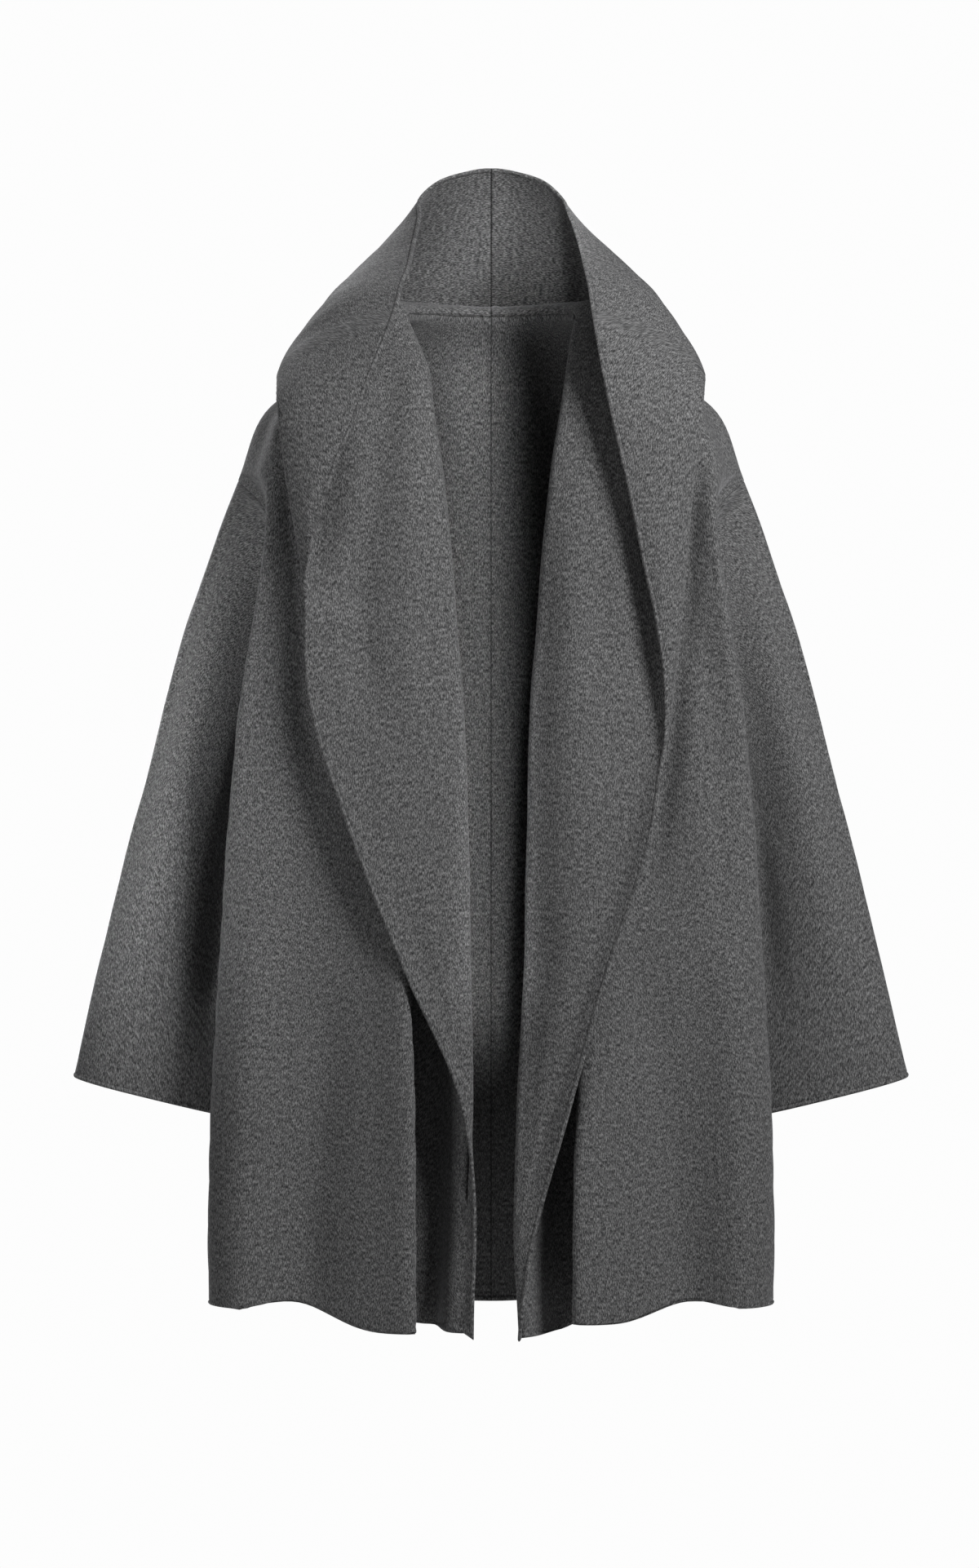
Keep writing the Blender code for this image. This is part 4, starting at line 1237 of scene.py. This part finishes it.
class CoatLook(bpy.types.PropertyGroup):
    """Colours and nap of the wool."""
    dark: bpy.props.FloatVectorProperty(
        name="Dark hairs", description="Colour of the darkest hairs",
        subtype="COLOR", default=(0.022, 0.022, 0.023))
    middle: bpy.props.FloatVectorProperty(
        name="Middle tone", description="Main colour of the wool",
        subtype="COLOR", default=(0.095, 0.095, 0.096))
    light: bpy.props.FloatVectorProperty(
        name="Light hairs", description="Colour of the lightest hairs",
        subtype="COLOR", default=(0.25, 0.25, 0.251))
    hair_width: bpy.props.FloatProperty(
        name="Hair width", description="Width of a lock of the nap", default=0.0009, unit="LENGTH")
    hair_length: bpy.props.FloatProperty(
        name="Hair length", description="Length of a lock of the nap", default=0.0030, unit="LENGTH")
    mottle_size: bpy.props.FloatProperty(
        name="Mottle size", description="Size of the cloudy patches in the wool",
        default=0.0050, unit="LENGTH")
    # The seam line and the fell groove below are painted shade on the colour
    seam_line: bpy.props.FloatProperty(
        name="Seam line", description="Half the width of the dark line at a seam",
        default=0.0012, unit="LENGTH")
    fell_line: bpy.props.FloatProperty(
        name="Fell line", description="Where the dark groove of a felled edge lies",
        default=FELL_WIDTH * MM, unit="LENGTH")
    relief: bpy.props.FloatProperty(
        name="Nap relief", description="Strength of the nap's relief", default=0.35)
    sheen: bpy.props.FloatProperty(
        name="Sheen", description="Strength of the soft sheen", default=0.25)


class CoatStage(bpy.types.PropertyGroup):
    """Studio light and camera."""
    camera_distance: bpy.props.FloatProperty(
        name="Camera distance", description="Camera's distance in front of the neck",
        default=3.6, unit="LENGTH")
    camera_height: bpy.props.FloatProperty(
        name="Camera height", description="Camera's height from the neck",
        default=-0.462, unit="LENGTH")
    lens: bpy.props.FloatProperty(
        name="Lens", description="Focal length in millimetres", default=84.3)
    floor_height: bpy.props.FloatProperty(
        name="Floor height", description="Floor's height from the neck", default=-1.45, unit="LENGTH")
    key_power: bpy.props.FloatProperty(
        name="Key light", description="Power of the main soft light from the right",
        default=25.5, unit="POWER")
    left_power: bpy.props.FloatProperty(
        name="Left light", description="Power of the soft light from the left",
        default=25.0, unit="POWER")
    behind_power: bpy.props.FloatProperty(
        name="Back light", description="Power of the soft light from behind",
        default=70.0, unit="POWER")
    side_power: bpy.props.FloatProperty(
        name="Side light", description="Power of the light on the sleeve away from the key",
        default=0.27, unit="POWER")
    inner_power: bpy.props.FloatProperty(
        name="Inner light", description="Power of the light through the open front",
        default=0.12, unit="POWER")
    hood_power: bpy.props.FloatProperty(
        name="Hood light", description="Power of the light into the hood", default=0.042, unit="POWER")
    fill: bpy.props.FloatProperty(
        name="Fill light", description="Strength of the light from all round", default=0.01)


class COAT_OT_fronts(bpy.types.Operator):
    """Make both fronts with their lapels and hood halves"""
    bl_idname = "coat.fronts"
    bl_label = "Fronts and hood"

    def execute(self, context):
        """Build the right and left fronts."""
        for side, sign in SIDES:
            make_piece(
                context.scene, "front_hood_" + side, sign, front_cloth(side),
                FRONT_CREASES[side], crease_way=point(0, -1, 0))
        return {"FINISHED"}


class COAT_OT_backs(bpy.types.Operator):
    """Make both back panels"""
    bl_idname = "coat.backs"
    bl_label = "Backs"

    def execute(self, context):
        """Build the right and left backs."""
        for side, sign in SIDES:
            make_piece(
                context.scene, "back_" + side, sign, back_cloth(),
                BACK_CREASES[side], crease_way=point(0, 1, 0))
        return {"FINISHED"}


class COAT_OT_sleeves(bpy.types.Operator):
    """Make both sleeves"""
    bl_idname = "coat.sleeves"
    bl_label = "Sleeves"

    def execute(self, context):
        """Build the right and left sleeves."""
        for side, sign in SIDES:
            make_piece(
                context.scene, "sleeve_" + side, sign, sleeve_cloth(), SLEEVE_CREASES[side])
        return {"FINISHED"}


class COAT_OT_stage(bpy.types.Operator):
    """Set up the pale floor, the soft light and the camera"""
    bl_idname = "coat.stage"
    bl_label = "Stage"

    def execute(self, context):
        """Build the studio."""
        scene = context.scene
        stage = scene.coat_stage
        bpy.ops.object.select_all(action="DESELECT")
        bpy.ops.mesh.primitive_circle_add(
            vertices=FLOOR_CORNERS, radius=FLOOR_RADIUS, fill_type="NGON",
            location=(0, 0, stage.floor_height))
        floor = context.object
        floor.name = "studio_floor"
        floor.data.materials.append(floor_material())
        world = bpy.data.worlds.new("studio_air")
        scene.world = world
        world.use_nodes = True
        paint_world(world.node_tree, stage.fill)
        for name, lamp in LAMPS.items():
            add_light(name, lamp, getattr(stage, name + "_power"))
        add_camera(scene, stage)
        scene.view_settings.view_transform = "Standard"
        return {"FINISHED"}


class COAT_PT_panel(bpy.types.Panel):
    """Lists the coat's pieces and their settings"""
    bl_label = "Hooded coat"
    bl_idname = "COAT_PT_panel"
    bl_space_type = "VIEW_3D"
    bl_region_type = "UI"
    bl_category = "Coat"

    def draw(self, context):
        """Show the settings and the buttons."""
        for group in (context.scene.coat_sizes, context.scene.coat_look, context.scene.coat_stage):
            for name in group.__annotations__:
                self.layout.prop(group, name)
        for operator in OPERATORS:
            self.layout.operator(operator.bl_idname)


GROUPS = {"coat_sizes": CoatSizes, "coat_look": CoatLook, "coat_stage": CoatStage}
OPERATORS = (COAT_OT_fronts, COAT_OT_backs, COAT_OT_sleeves, COAT_OT_stage)


def register():
    """Put the settings, operators and panel into Blender."""
    for name, group in GROUPS.items():
        bpy.utils.register_class(group)
        setattr(bpy.types.Scene, name, bpy.props.PointerProperty(type=group))
    for item in OPERATORS + (COAT_PT_panel,):
        bpy.utils.register_class(item)


def unregister():
    """Take them out again."""
    for item in (COAT_PT_panel,) + OPERATORS[::-1]:
        bpy.utils.unregister_class(item)
    for name, group in GROUPS.items():
        delattr(bpy.types.Scene, name)
        bpy.utils.unregister_class(group)


def main():
    """Register the add-on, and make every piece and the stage."""
    register()
    bpy.ops.object.select_all(action="DESELECT")
    bpy.ops.coat.fronts()
    bpy.ops.coat.backs()
    bpy.ops.coat.sleeves()
    bpy.ops.coat.stage()
    bpy.context.view_layer.update()


if __name__ == "__main__":
    main()
